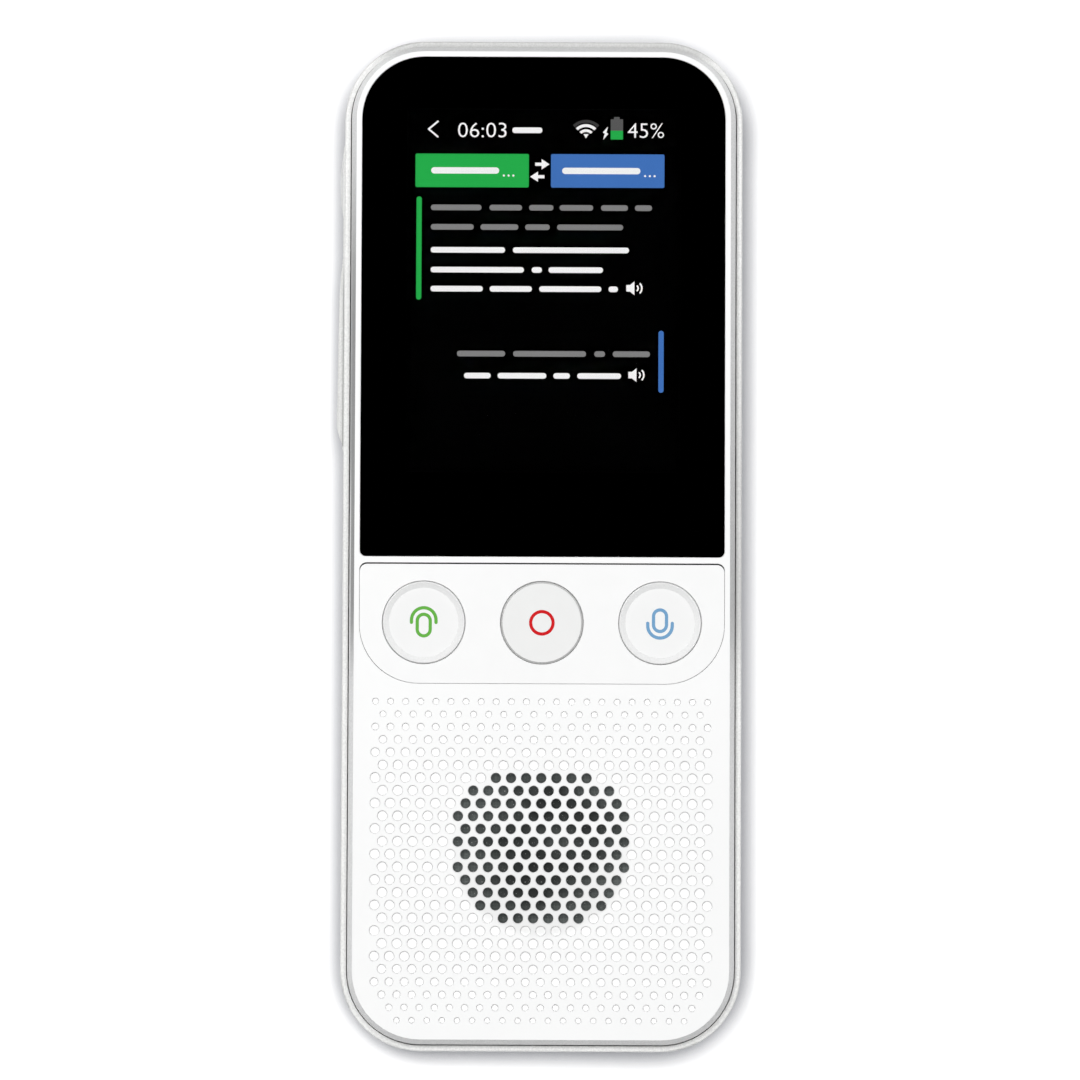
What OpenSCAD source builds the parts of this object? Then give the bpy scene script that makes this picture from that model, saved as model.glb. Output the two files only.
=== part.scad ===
// Handheld voice translator with a glass-fronted display, three round talk keys,
// a perforated speaker grille, a power key and a hinged card flap on its left side.
// It lies on its back: +X is its right, +Y its top end, +Z faces the user.
// The origin is the centre of the back face, which is the face it rests on.

/* [Body] */
// Width of the housing, without the keys on its side
body_w = 53.9; // [53.2:0.1:54.8]
// Height of the housing, from its lower end to its upper end
body_h = 136.6; // [135.8:0.1:139]
// Thickness from the back face to the front face
body_t = 13.6; // [13.4:0.1:14.4]
// Radius of the four corners seen from the front
corner_r = 10.8; // [10.2:0.1:11.6]
// Radius of the edge round the back
back_edge_r = 2.4; // [1.4:0.1:2.4]
// Thickness of the rear cover's side walls
wall = 1.7; // [1.5:0.05:1.8]
// Thickness of the rear cover's floor
floor_t = 1.4; // [1.2:0.05:1.7]
// How far the front cover stands above the rear cover's rim
cover_rise = 2.4; // [2:0.1:2.6]
// Width of the bevel round the front face
bevel_w = 0.68; // [0.3:0.02:0.7]

/* [Display] */
// Width of the lit area of the display
display_w = 36.72; // [34:0.1:37.2]
// Height of the lit area of the display
display_h = 48.96; // [44:0.1:49.6]
// Height of the cover glass
glass_h = 67.65; // [67.2:0.05:68.2]
// Thickness of the cover glass
glass_t = 0.8; // [0.6:0.05:0.9]

/* [Talk keys] */
// Diameter of each talk key
key_d = 11.08; // [10.4:0.02:11.4]
// Distance from one talk key to the next
key_pitch = 15.9; // [15.6:0.1:16.4]
// How far a talk key goes down
key_travel = 0.25; // [0.15:0.01:0.3]
// Depth of the dish in the two outer keys
dish_depth = 0.4; // [0.2:0.05:0.5]
// Height of the D-shaped panel round the keys
panel_h = 16.3; // [15.9:0.05:16.8]

/* [Grille] */
// Distance between rows of dimples
row_pitch = 1.71; // [1.6:0.01:1.8]
// Distance between dimples in a row
column_pitch = 2.03; // [1.9:0.01:2.1]
// Diameter of the largest dimples
dimple_d = 1.44; // [1.2:0.02:1.5]
// Radius of the round field whose dimples are open to the speaker
open_field_r = 11.9; // [9:0.01:12.2]
// Height to which that field is cut off at its top and bottom
open_field_h = 20.4; // [16:0.1:24]

/* [Side] */
// Length of the power key
power_key_l = 10; // [8:0.1:10]
// Width of the power key
power_key_w = 2.8; // [2.4:0.1:3]
// Width of the card flap
flap_w = 5; // [4.6:0.1:5]
// How far the card flap swings open, in degrees
flap_swing = 95; // [60:1:95]

/* [Inside] */
// Length of the battery
battery_l = 61; // [50:0.5:61]
// Gap between the battery and what stands beside it
battery_gap = 1.6; // [1.2:0.1:2.4]
// Diameter of the speaker
speaker_d = 27; // [26.4:0.1:27.2]

/* [Fits] */
// Gap between the two covers
part_gap = 0.17; // [0.1:0.01:0.18]
// Gap round the cover glass
insert_gap = 0.06; // [0.04:0.01:0.08]
// Gap round the sides and the foot of the key panel
panel_gap = 0.05; // [0.04:0.01:0.08]
// Gap at the upper edge of the key panel
panel_top_gap = 0.2; // [0.1:0.01:0.22]
// Gap round a key
key_gap = 0.06; // [0.06:0.01:0.12]
// Gap round a turning pin or a plunger
pin_gap = 0.03; // [0.02:0.01:0.05]

/* [Hidden] */
$fn = 48;
e = 0.5;
half_w = body_w / 2;
half_h = body_h / 2;

// Heights of the covers
rim_w = 0.8;
rim_h = 1.8;
rim_round = 0.25;
rim_z = body_t - cover_rise;
seat_z = rim_z - rim_h;
front_wall = 1.6;
front_in = body_t - front_wall;
skirt_in = rim_w + part_gap;
skirt_t = 1.3;
cavity_in = skirt_in + skirt_t;
bevel_h = 1.0;

// Cover glass and what lies under it
glass_margin = 2.42;
glass_w = body_w - 2 * glass_margin;
glass_top_r = corner_r - glass_margin + 0.1;
glass_foot_r = 0.8;
glass_y1 = half_h - glass_margin;
glass_y0 = glass_y1 - glass_h;
glass_sink = 0.05;
tape_t = 0.1;
glass_z = body_t - glass_sink - glass_t;
glass_floor = glass_z - tape_t;
display_y = glass_y1 - 31.6;
window_edge = 0.7;
window_w = display_w + 2 * window_edge;
window_h = display_h + 2 * window_edge;
window_r = 0.6;
gasket_t = 0.3;
lcd_t = 1.1;
tray_t = 2.3;
lcd_z1 = front_in - gasket_t;
lcd_z0 = lcd_z1 - lcd_t;
tray_z0 = lcd_z1 - tray_t;
tray_edge = 3;
tray_foot = 7.4;
tray_w = display_w + 2 * tray_edge;
tray_y1 = display_y + display_h / 2 + 2.25;
tray_y0 = display_y - display_h / 2 - tray_foot;
tray_rim = 0.5;
flex_w = 13;
flex_t = 0.12;
flex_r = 1.14;

// Key panel and talk keys
panel_margin = 2.35;
panel_w = body_w - 2 * panel_margin;
panel_t = 1.0;
panel_y1 = glass_y0 - 0.86;
panel_y0 = panel_y1 - panel_h;
panel_top_r = 1.0;
panel_foot_r = 8.0;
panel_floor = body_t - panel_t;
panel_tape_foot = 1.7;
key_r = key_d / 2;
keys_y = panel_y1 - 8.07;
flange_r = key_r + 0.9;
flange_t = 0.8;
flange_z = front_in - 0.1 - flange_t;
opening_r = key_r + 0.26;
guide_r = 0.5;
guide_gap = 0.1;
cap_side = 0.15;
cap_centre = -0.05;
cap_cavity_r = 4.4;
cap_cavity_z = front_in + 0.3;
rim_flat = 0.05;
rim_chamfer = 0.12;
centre_chamfer = 0.24;
hole_chamfer = 0.07;
dish_w = 0.7;
glyph_t = 0.35;
stroke = 0.44;
ring_r = 1.73;
arch_r = 1.87;
arch_y = 0.33;
capsule_l = 3.34;
capsule_w = 2.19;
capsule_y = -0.36;

// Board and switches
board_t = 1.0;
board_z = floor_t + 5;
board_top = board_z + board_t;
board_gap = 0.7;
can_x0 = -15;
can_x1 = 13;
can_l = 18;
can_y0 = display_y;
can_t = 0.2;
chip_side = 2.2;
connector_y0 = tray_y0 + 2.3;
switch_w = 4.6;
switch_h = 1.9;
switch_floor = 0.4;
dome_t = 0.12;
plunger_r = 1.2;
plunger_z0 = board_top + switch_floor + dome_t + key_travel + 0.05;
plunger_z1 = board_top + 2.85;

// Speaker under the open field of the grille
grille_y = panel_y0 - 2.4;
grille_side = 4.4;
grille_foot = 4.2;
grille_h = grille_y + half_h - grille_foot;
rows = floor(grille_h / row_pitch + 0.001) + 1;
columns = 2 * floor((half_w - grille_side) / column_pitch) + 1;
speaker_y = grille_y - 0.455 * grille_h;
speaker_r = speaker_d / 2;
mesh_t = 0.12;
speaker_gasket_t = 0.6;
basket_t = 0.8;
basket_z1 = front_in - speaker_gasket_t;
basket_z0 = basket_z1 - 3.2;
magnet_r = 8;
basket_windows = 8;
cone_z = basket_z1 - 1.05;
cone_t = 0.15;
dimple_depth = 0.35;
dimple_draft = 0.12;
bore_step = 0.055;

// Left side
side_z = board_z - 0.85;
pad_rise = 0.25;
pad_w = flap_w + 0.8;
pad_y1 = half_h - 13.45;
pad_y0 = half_h - 56;
power_y = half_h - 19.2;
power_rise = 0.75;
power_crown_r = 24;
power_travel = 0.3;
hinge_x = -half_w + 0.5;
hinge_y = half_h - 29.7;
knuckle_r = 0.85;
flap_pin_r = 0.4;
flap_drop = 25;
flap_in = 0.85;
lip_rise = 1.16;
flap_gap = 0.12;
over_swing = max(0, flap_swing - 90);
seat_top = knuckle_r / cos(over_swing) + (knuckle_r - 0.1) * tan(over_swing) + flap_gap;
slot_y1 = hinge_y - 1.4;
slot_y0 = slot_y1 - 21.4;
slot_w = 2.6;

// Battery
post_r = 1.2;
post_x = half_w - 3.9;
card_x0 = -half_w + wall + 0.9;
sim_l = 12.6;
sim_card_w = 8.9;
sim_side = 0.45;
memory_card_l = 14.4;
memory_card_w = 11.2;
memory_side = 0.3;
battery_x0 = card_x0 + memory_card_l + battery_gap;
battery_x1 = post_x - post_r - 0.3;
battery_w = battery_x1 - battery_x0;
battery_y0 = keys_y + 1.2;
battery_t = 4.4;
battery_tape_t = 0.15;

// Catches that snap the covers together, on the long sides and on the two ends
catch_w = 5;
catch_t = 0.9;
catch_gap = 0.06;
catch_in = wall + catch_gap;
catch_z0 = board_top + 0.35;
catch_bite = 0.4;
side_catch_y = [-half_h * 0.72, -half_h * 0.12, half_h * 0.83];
end_catch_x = 0;

// Stiffening ribs on the rear cover's floor below the battery
rib_t = 0.8;
rib_h = 1.3;
rib_pitch = 9.5;

// Screws at the four corners
screw_x = [half_w - 10.8, half_w - 8.3];
screw_y = [half_h - 4.8, -half_h + 7.2];
screw_r = 0.8;
head_r = 1.6;
head_t = 1.1;
head_sink = 0.8;
head_z = head_sink + head_t;
insert_r = 1.3;
insert_l = 3;

// Sockets on the lower and upper ends
usb_w = 8.94;
usb_h = 3.26;
usb_wall = 0.28;
usb_l = 7.3;
usb_z = board_z - usb_h / 2;
mic_x = screw_x[0] - 6;
mic_z = board_z - 1.9;
mic_hole_r = 0.5;

white = [0.96, 0.96, 0.95];
silver = [0.86, 0.87, 0.87];
black = [0.03, 0.03, 0.03];
steel = [0.72, 0.73, 0.75];
gold = [0.83, 0.68, 0.35];

// ---------- shapes shared by several pieces ----------

// Flat outline from y0 to y1, with one radius for its upper corners and one for its lower corners
module outline(w, y0, y1, top_r, foot_r) {
    translate([-w / 2, y0 + foot_r])
        square([w, y1 - top_r - y0 - foot_r]);
    translate([-w / 2 + top_r, y1 - top_r])
        square([w - 2 * top_r, top_r]);
    translate([-w / 2 + foot_r, y0])
        square([w - 2 * foot_r, foot_r]);
    for (x = [-1, 1]) {
        translate([x * (w / 2 - top_r), y1 - top_r])
            circle(top_r);
        translate([x * (w / 2 - foot_r), y0 + foot_r])
            circle(foot_r);
    }
}

module rounded(w, h, r) {
    outline(w, -h / 2, h / 2, r, r);
}

// Long hole or bar with half-round ends, l long in x and d wide in y
module stadium(l, d) {
    square([l - d, d], center = true);
    for (x = [-1, 1])
        translate([x * (l - d) / 2, 0])
            circle(d / 2);
}

// Slab with rounded corners whose edge profile is the child: x runs out from the corner's axis
module slab(w, h, r, z0, z1) {
    core_w = w - 2 * r;
    core_h = h - 2 * r;
    translate([-core_w / 2, -core_h / 2, z0])
        cube([core_w, core_h, z1 - z0]);
    for (mx = [0, 1])
        mirror([mx, 0, 0]) {
            translate([core_w / 2, core_h / 2, 0])
                rotate([90, 0, 0])
                    linear_extrude(core_h)
                        children();
            for (my = [0, 1])
                mirror([0, my, 0])
                    translate([core_w / 2, core_h / 2, 0])
                        rotate_extrude(angle = 90)
                            children();
        }
    for (my = [0, 1])
        mirror([0, my, 0])
            translate([-core_w / 2, core_h / 2, 0])
                rotate([90, 0, 90])
                    linear_extrude(core_w)
                        children();
}

// Straight-sided slab that follows the housing's outline at a given distance inside it
module inset_slab(inset, z0, z1) {
    translate([0, 0, z0])
        linear_extrude(z1 - z0)
            rounded(body_w - 2 * inset, body_h - 2 * inset, corner_r - inset);
}

// Round bar of radius r along z
module bar(r, z0, z1) {
    translate([0, 0, z0])
        cylinder(r = r, h = z1 - z0);
}

// Block given by its lower corner and its upper corner
module block(a, b) {
    translate(a)
        cube(b - a);
}

// Children at the three talk keys
module at_keys() {
    for (i = [-1, 0, 1])
        translate([i * key_pitch, keys_y, 0])
            children();
}

// Children at the four screws
module at_screws() {
    for (i = [0, 1], s = [-1, 1])
        translate([s * screw_x[i], screw_y[i], 0])
            children();
}

// Children at each catch, with x pointing out of the housing and the wall's outer face at x = 0
module at_catches() {
    for (s = [0, 1])
        mirror([s, 0, 0])
            for (y = side_catch_y)
                translate([half_w, y, 0])
                    children();
    for (a = [90, -90])
        rotate(a)
            translate([half_h, end_catch_x, 0])
                children();
}

// Catch or its pocket, grown by a gap all round: a tongue with a sloped tooth on its outer side
module catch_tongue() {
    rotate([90, 0, 0])
        translate([0, 0, -catch_w / 2])
            linear_extrude(catch_w)
                polygon([
                    [-catch_in - catch_t, catch_z0],
                    [-catch_in, catch_z0],
                    [-catch_in + catch_bite, catch_z0 + 0.6],
                    [-catch_in + catch_bite, catch_z0 + 0.8],
                    [-catch_in, catch_z0 + 1],
                    [-catch_in, seat_z + 0.3],
                    [-catch_in - catch_t, seat_z + 0.9]
                ]);
}

module catch_pocket() {
    block([-wall - e, -catch_w / 2 - part_gap, catch_z0 - part_gap],
          [-catch_in + catch_bite + catch_gap, catch_w / 2 + part_gap, catch_z0 + 1 + part_gap]);
}

// ---------- grille pattern ----------

function row_y(i) = grille_y - i * row_pitch;
function row_count(i) = columns - i % 2;
function row_d(i) = min(
    dimple_d,
    dimple_d - 0.5 + 0.11 * max(0, i - 1),
    dimple_d - 0.57 + 0.11 * (rows - 1 - i)
);

// Dimples closer to a lower corner than this radius round the corner's axis are kept
corner_keep_r = corner_r - 3.2;
function kept(x, y) =
    abs(x) < half_w - 3.2 && y > -half_h + 3.2
    && (abs(x) < half_w - corner_r || y > -half_h + corner_r
        || norm([abs(x) - half_w + corner_r, y + half_h - corner_r]) < corner_keep_r);

function open(x, y) =
    norm([x, y - speaker_y]) < open_field_r && abs(y - speaker_y) < open_field_h / 2;

// Dimple whose wall slopes in by its draft; r is its radius at the front face
module dimple(r) {
    translate([0, 0, body_t - dimple_depth])
        cylinder(r1 = r - dimple_draft, r2 = r + dimple_draft * e / dimple_depth,
                 h = dimple_depth + e);
}

module grille_cuts() {
    for (i = [0 : rows - 1], j = [0 : row_count(i) - 1]) {
        x = (j - (row_count(i) - 1) / 2) * column_pitch;
        y = row_y(i);
        if (kept(x, y))
            translate([x, y, 0]) {
                dimple(row_d(i) / 2);
                if (open(x, y))
                    bar(row_d(i) / 2 - bore_step, front_in - e, body_t + e);
            }
    }
}

// ---------- covers ----------

module front_cover_edge() {
    r = corner_r - skirt_in;
    polygon([
        [0, seat_z],
        [r, seat_z],
        [r, body_t - bevel_h],
        [r - bevel_w, body_t],
        [0, body_t]
    ]);
}

// Moulded front: thin wall with the glass recess, the key panel recess and the graded grille
module front_cover() {
    color(white)
        difference() {
            union() {
                difference() {
                    slab(body_w - 2 * skirt_in, body_h - 2 * skirt_in, corner_r - skirt_in,
                         seat_z, body_t)
                        front_cover_edge();
                    inset_slab(cavity_in, seat_z - e, front_in);
                }
                at_catches()
                    catch_tongue();
                at_screws()
                    bar(2.1, board_top, front_in + 0.3);
                at_keys()
                    for (s = [-1, 1])
                        translate([s * flange_r, 0, 0])
                            bar(guide_r, flange_z - 0.4, front_in + 0.3);
                translate([0, speaker_y, 0])
                    difference() {
                        bar(speaker_r + 0.9, basket_z1 - 1, front_in + 0.3);
                        bar(speaker_r + 0.1, basket_z1 - 1 - e, front_in);
                    }
                for (s = [-1, 1], y = [-display_h / 4, display_h / 4])
                    translate([s * (tray_w / 2 + 0.5), display_y + y, tray_z0 + 0.6])
                        translate([-0.4, -5, 0])
                            cube([0.8, 10, front_in + 0.3 - tray_z0 - 0.6]);
            }
            translate([0, 0, glass_floor])
                linear_extrude(front_wall)
                    outline(glass_w + 2 * insert_gap, glass_y0 - insert_gap,
                            glass_y1 + insert_gap, glass_top_r, glass_foot_r);
            translate([0, display_y, front_in - e])
                linear_extrude(front_wall)
                    rounded(window_w, window_h, window_r);
            translate([0, 0, panel_floor - tape_t])
                linear_extrude(front_wall)
                    outline(panel_w, panel_y0, panel_y1, panel_top_r, panel_foot_r);
            at_keys()
                bar(opening_r, front_in - e, body_t);
            at_screws()
                bar(insert_r, board_top - e, board_top + insert_l + 0.5);
            grille_cuts();
        }
}

module rear_cover_edge() {
    difference() {
        square([corner_r, rim_z]);
        translate([corner_r - back_edge_r, 0])
            difference() {
                translate([0, -e])
                    square([back_edge_r + e, back_edge_r + e]);
                translate([0, back_edge_r])
                    circle(back_edge_r);
            }
        translate([corner_r - rim_round, rim_z - rim_round])
            difference() {
                square([rim_round + e, rim_round + e]);
                circle(rim_round);
            }
    }
}

// Low raised strip that surrounds the power key and the card flap
module side_pad() {
    translate([0, 0, side_z - pad_w / 2])
        linear_extrude(pad_w)
            polygon([
                [-half_w + wall / 2, pad_y1],
                [-half_w, pad_y1],
                [-half_w - pad_rise, pad_y1 - 0.9],
                [-half_w - pad_rise, pad_y0 + 0.9],
                [-half_w, pad_y0],
                [-half_w + wall / 2, pad_y0]
            ]);
}

module power_opening() {
    translate([-half_w - pad_rise - e, power_y, side_z])
        rotate([0, 90, 0])
            linear_extrude(wall + pad_rise + 2 * e)
                rotate(90)
                    stadium(power_key_l + 2 * key_gap, power_key_w + 2 * key_gap);
}

// Seat of the card flap, the slot behind it and the holes for its pin
module flap_opening() {
    seat_x0 = -half_w - pad_rise - e;
    seat_w = flap_w + 2 * flap_gap;
    seat_z0 = side_z - seat_w / 2;
    block([seat_x0, hinge_y - flap_drop - flap_gap, seat_z0],
          [-half_w + flap_in, hinge_y + seat_top, seat_z0 + seat_w]);
    block([seat_x0, hinge_y - knuckle_r - 0.15, seat_z0],
          [-half_w + wall + e, hinge_y + seat_top, seat_z0 + seat_w]);
    block([seat_x0, slot_y0, side_z - slot_w / 2],
          [-half_w + wall + e, slot_y1, side_z + slot_w / 2]);
    translate([hinge_x, hinge_y, 0])
        bar(flap_pin_r, side_z - flap_w / 2 - 1, side_z + flap_w / 2 + 1);
}

// Grid of low ribs under the speaker
module floor_ribs() {
    rib_y0 = -half_h + 11;
    rib_y1 = battery_y0 - 8;
    for (i = [-2 : 2])
        block([i * rib_pitch - rib_t / 2, rib_y0, floor_t - 0.3],
              [i * rib_pitch + rib_t / 2, rib_y1, floor_t + rib_h]);
    for (y = [rib_y0, (rib_y0 + rib_y1) / 2, rib_y1])
        block([-2 * rib_pitch, y - rib_t / 2, floor_t - 0.3],
              [2 * rib_pitch, y + rib_t / 2, floor_t + rib_h]);
}

module rear_cover() {
    color(silver)
        difference() {
            union() {
                difference() {
                    union() {
                        slab(body_w, body_h, corner_r, 0, rim_z)
                            rear_cover_edge();
                        side_pad();
                    }
                    inset_slab(wall, floor_t, seat_z);
                    inset_slab(rim_w, seat_z, rim_z + e);
                }
                at_screws()
                    bar(2.4, floor_t - 0.3, board_z);
                floor_ribs();
                for (p = [[post_x, display_y - 20], [post_x, speaker_y + 14],
                          [-post_x, keys_y + 16], [-post_x, speaker_y + 14]])
                    translate(p)
                        bar(post_r, floor_t - 0.3, board_z);
                for (x = [battery_x0 - 0.9, battery_x0 + battery_w + 0.1])
                    block([x, battery_y0 + 2, floor_t - 0.3],
                          [x + 0.8, battery_y0 + battery_l - 2, floor_t + 2.2]);
            }
            at_screws() {
                bar(head_r + 0.15, -e, head_z);
                bar(screw_r + 0.15, head_z - e, board_z + e);
            }
            at_catches()
                catch_pocket();
            power_opening();
            flap_opening();
            translate([0, -half_h + wall + e, usb_z])
                rotate([90, 0, 0])
                    linear_extrude(wall + 2 * e)
                        stadium(usb_w + 0.3, usb_h + 0.3);
            for (s = [-1, 1])
                translate([mic_x, s * (half_h - wall / 2), mic_z])
                    rotate([90, 0, 0])
                        bar(mic_hole_r, -wall, wall);
        }
}

// ---------- display ----------

module cover_glass() {
    color([0.05, 0.05, 0.06, 0.6])
        translate([0, 0, glass_z])
            linear_extrude(glass_t)
                outline(glass_w, glass_y0, glass_y1, glass_top_r, glass_foot_r);
}

// Black mask and adhesive that frames the display under the glass
module glass_tape() {
    color(black)
        translate([0, 0, glass_floor])
            linear_extrude(tape_t)
                difference() {
                    outline(glass_w, glass_y0, glass_y1, glass_top_r, glass_foot_r);
                    translate([0, display_y])
                        rounded(display_w + 0.3, display_h + 0.3, 0.3);
                }
}

module lcd_gasket() {
    color([0.1, 0.1, 0.1])
        translate([0, display_y, lcd_z1])
            linear_extrude(gasket_t)
                difference() {
                    rounded(window_w + 3, window_h + 2.4, 0.8);
                    rounded(window_w, window_h, window_r);
                }
}

module lcd_panel() {
    color([0.06, 0.07, 0.09])
        block([-tray_w / 2 + tray_rim + 0.05, tray_y0 + tray_rim + 0.05, lcd_z0],
              [tray_w / 2 - tray_rim - 0.05, tray_y1 - tray_rim - 0.05, lcd_z1]);
}

// Steel tray with the light guide in it and a rim that holds the panel
module backlight_tray() {
    color(steel)
        difference() {
            block([-tray_w / 2, tray_y0, tray_z0], [tray_w / 2, tray_y1, lcd_z1 - 0.3]);
            block([-tray_w / 2 + tray_rim, tray_y0 + tray_rim, lcd_z0],
                  [tray_w / 2 - tray_rim, tray_y1 - tray_rim, lcd_z1]);
            block([-flex_w / 2 - 0.3, tray_y0 - e, lcd_z0],
                  [flex_w / 2 + 0.3, tray_y0 + tray_rim + e, lcd_z1]);
        }
}

// Ribbon that leaves the panel's lower edge, folds under the tray and ends in its connector
module lcd_flex() {
    edge_y = tray_y0 + tray_rim + 0.05;
    turn_y = tray_y0 - 0.1;
    top_z = lcd_z0 + 0.25;
    turn_z = top_z - flex_r;
    low_z = turn_z - flex_r - flex_t;
    color([0.75, 0.5, 0.15])
        translate([-flex_w / 2, 0, 0])
            rotate([90, 0, 90])
                linear_extrude(flex_w) {
                    translate([turn_y, top_z])
                        square([edge_y - turn_y, flex_t]);
                    difference() {
                        translate([turn_y, turn_z])
                            circle(flex_r + flex_t);
                        translate([turn_y, turn_z])
                            circle(flex_r);
                        translate([turn_y, turn_z - 2 * flex_r])
                            square(4 * flex_r);
                    }
                    translate([turn_y, low_z])
                        square([4.2, flex_t]);
                }
}

module lcd_connector() {
    top = lcd_z0 + 0.25 - 2 * flex_r - flex_t;
    color([0.9, 0.88, 0.8])
        block([-flex_w / 2 - 0.6, connector_y0, board_top],
              [flex_w / 2 + 0.6, connector_y0 + 2.4, top]);
}

// ---------- talk keys ----------

// D-shaped panel whose key holes have a small chamfer
module key_panel() {
    hole_r = key_r + key_gap;
    color(white)
        difference() {
            translate([0, 0, panel_floor])
                linear_extrude(panel_t)
                    outline(panel_w - 2 * panel_gap, panel_y0 + panel_gap,
                            panel_y1 - panel_top_gap, panel_top_r, panel_foot_r);
            at_keys() {
                bar(hole_r, panel_floor - e, body_t + e);
                translate([0, 0, body_t - hole_chamfer])
                    cylinder(r1 = hole_r, r2 = hole_r + hole_chamfer + e, h = hole_chamfer + e);
            }
        }
}

// Black adhesive sheet under the key panel, cut off straight above the panel's foot
module panel_tape() {
    color(black)
        difference() {
            translate([0, 0, panel_floor - tape_t])
                linear_extrude(tape_t)
                    difference() {
                        outline(panel_w, panel_y0, panel_y1, panel_top_r, panel_foot_r);
                        translate([-panel_w / 2, panel_y0 - e])
                            square([panel_w, panel_tape_foot + e]);
                    }
            at_keys()
                bar(opening_r, panel_floor - e, panel_floor + e);
        }
}

// Microphone sign: a capsule with an arch over it
module microphone_sign() {
    leg = 0.33;
    translate([0, capsule_y])
        rotate(90)
            difference() {
                stadium(capsule_l, capsule_w);
                stadium(capsule_l - 2 * stroke, capsule_w - 2 * stroke);
            }
    translate([0, arch_y])
        difference() {
            circle(arch_r);
            circle(arch_r - stroke);
            translate([-2 * arch_r, -4 * arch_r])
                square(4 * arch_r);
        }
    for (s = [-1, 1])
        translate([s * (arch_r - stroke / 2), arch_y - leg]) {
            translate([-stroke / 2, 0])
                square([stroke, leg]);
            circle(stroke / 2);
        }
}

module ring_sign() {
    difference() {
        circle(ring_r);
        circle(ring_r - stroke);
    }
}

// Solid of a sign inlaid in a key top at height z
module inlay(x, z) {
    translate([x, keys_y, z - glyph_t])
        linear_extrude(glyph_t)
            children();
}

// Key: cap, stem and retaining flange turned from one profile, notched for its two guides,
// with a pocket in its top for the sign that is the child
module talk_key(x, top, dish) {
    floor_z = top - dish;
    chamfer = dish > 0 ? rim_chamfer : centre_chamfer;
    dish_r = key_r - chamfer - rim_flat - dish_w;
    difference() {
        translate([x, keys_y, 0])
            rotate_extrude()
                polygon([
                    [0, plunger_z1],
                    [1.6, plunger_z1],
                    [1.6, cap_cavity_z],
                    [cap_cavity_r, cap_cavity_z],
                    [cap_cavity_r, flange_z],
                    [flange_r, flange_z],
                    [flange_r, flange_z + flange_t],
                    [key_r, flange_z + flange_t],
                    [key_r, top - chamfer],
                    [key_r - chamfer, top],
                    [key_r - chamfer - rim_flat, top],
                    [dish_r, floor_z],
                    [0, floor_z]
                ]);
        for (s = [-1, 1])
            translate([x + s * flange_r, keys_y, 0])
                bar(guide_r + guide_gap, flange_z - e, flange_z + flange_t);
        inlay(x, floor_z)
            children();
    }
}

side_key_top = body_t + cap_side;
side_sign_z = side_key_top - dish_depth;
centre_key_top = body_t + cap_centre;

module left_key() {
    color(white)
        talk_key(-key_pitch, side_key_top, dish_depth)
            microphone_sign();
}

module centre_key() {
    color([0.92, 0.92, 0.91])
        talk_key(0, centre_key_top, 0)
            ring_sign();
}

module right_key() {
    color(white)
        talk_key(key_pitch, side_key_top, dish_depth)
            rotate(180)
                microphone_sign();
}

module left_glyph() {
    color([0.42, 0.72, 0.29])
        inlay(-key_pitch, side_sign_z)
            microphone_sign();
}

module centre_glyph() {
    color([0.86, 0.12, 0.14])
        inlay(0, centre_key_top)
            ring_sign();
}

module right_glyph() {
    color([0.47, 0.66, 0.82])
        inlay(key_pitch, side_sign_z)
            rotate(180)
                microphone_sign();
}

module key_switches() {
    color([0.15, 0.15, 0.16])
        at_keys()
            difference() {
                block([-switch_w / 2, -switch_w / 2, board_top],
                      [switch_w / 2, switch_w / 2, board_top + switch_h]);
                bar(plunger_r + pin_gap, board_top + switch_floor, board_top + switch_h + e);
            }
}

// Snap domes that push the talk keys back up
module key_domes() {
    color(steel)
        at_keys()
            translate([0, 0, board_top + switch_floor])
                cylinder(r1 = plunger_r - 0.05, r2 = plunger_r - 0.3, h = dome_t);
}

module plunger(x) {
    color([0.2, 0.2, 0.21])
        translate([x, keys_y, 0])
            bar(plunger_r, plunger_z0, plunger_z1);
}

module left_plunger() {
    plunger(-key_pitch);
}

module centre_plunger() {
    plunger(0);
}

module right_plunger() {
    plunger(key_pitch);
}

// ---------- left side ----------

// Power key: rounded cap through the wall and a flange that keeps it in
module power_key() {
    cap_x0 = -half_w - power_rise;
    inner_x = -half_w + wall + 0.1;
    color(white) {
        intersection() {
            translate([cap_x0, power_y, side_z])
                rotate([0, 90, 0])
                    linear_extrude(inner_x - cap_x0)
                        rotate(90)
                            stadium(power_key_l, power_key_w);
            translate([cap_x0 + power_crown_r, power_y, side_z - power_key_w])
                bar(power_crown_r, 0, 2 * power_key_w);
            translate([cap_x0 + 2.6, power_y + power_key_l, side_z])
                rotate([90, 0, 0])
                    bar(2.6, 0, 2 * power_key_l);
        }
        block([inner_x, power_y - power_key_l / 2 - 0.7, side_z - power_key_w / 2 - 0.5],
              [inner_x + 0.6, power_y + power_key_l / 2 + 0.7, side_z + power_key_w / 2 + 0.5]);
    }
}

power_inner_x = -half_w + wall + 0.7;
power_switch_x = power_inner_x + 1.2;

module power_plunger() {
    color([0.2, 0.2, 0.21])
        translate([power_inner_x, power_y, side_z])
            rotate([0, 90, 0])
                bar(0.6, 0, 2.1);
}

module power_switch() {
    hole_l = 0.9 + power_travel + 0.1;
    color([0.15, 0.15, 0.16])
        difference() {
            block([power_switch_x, power_y - 2.3, board_z - 1.7],
                  [power_switch_x + 2.4, power_y + 2.3, board_z]);
            translate([power_switch_x, power_y, side_z])
                rotate([0, 90, 0])
                    bar(0.6 + pin_gap, -e, hole_l);
        }
}

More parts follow.
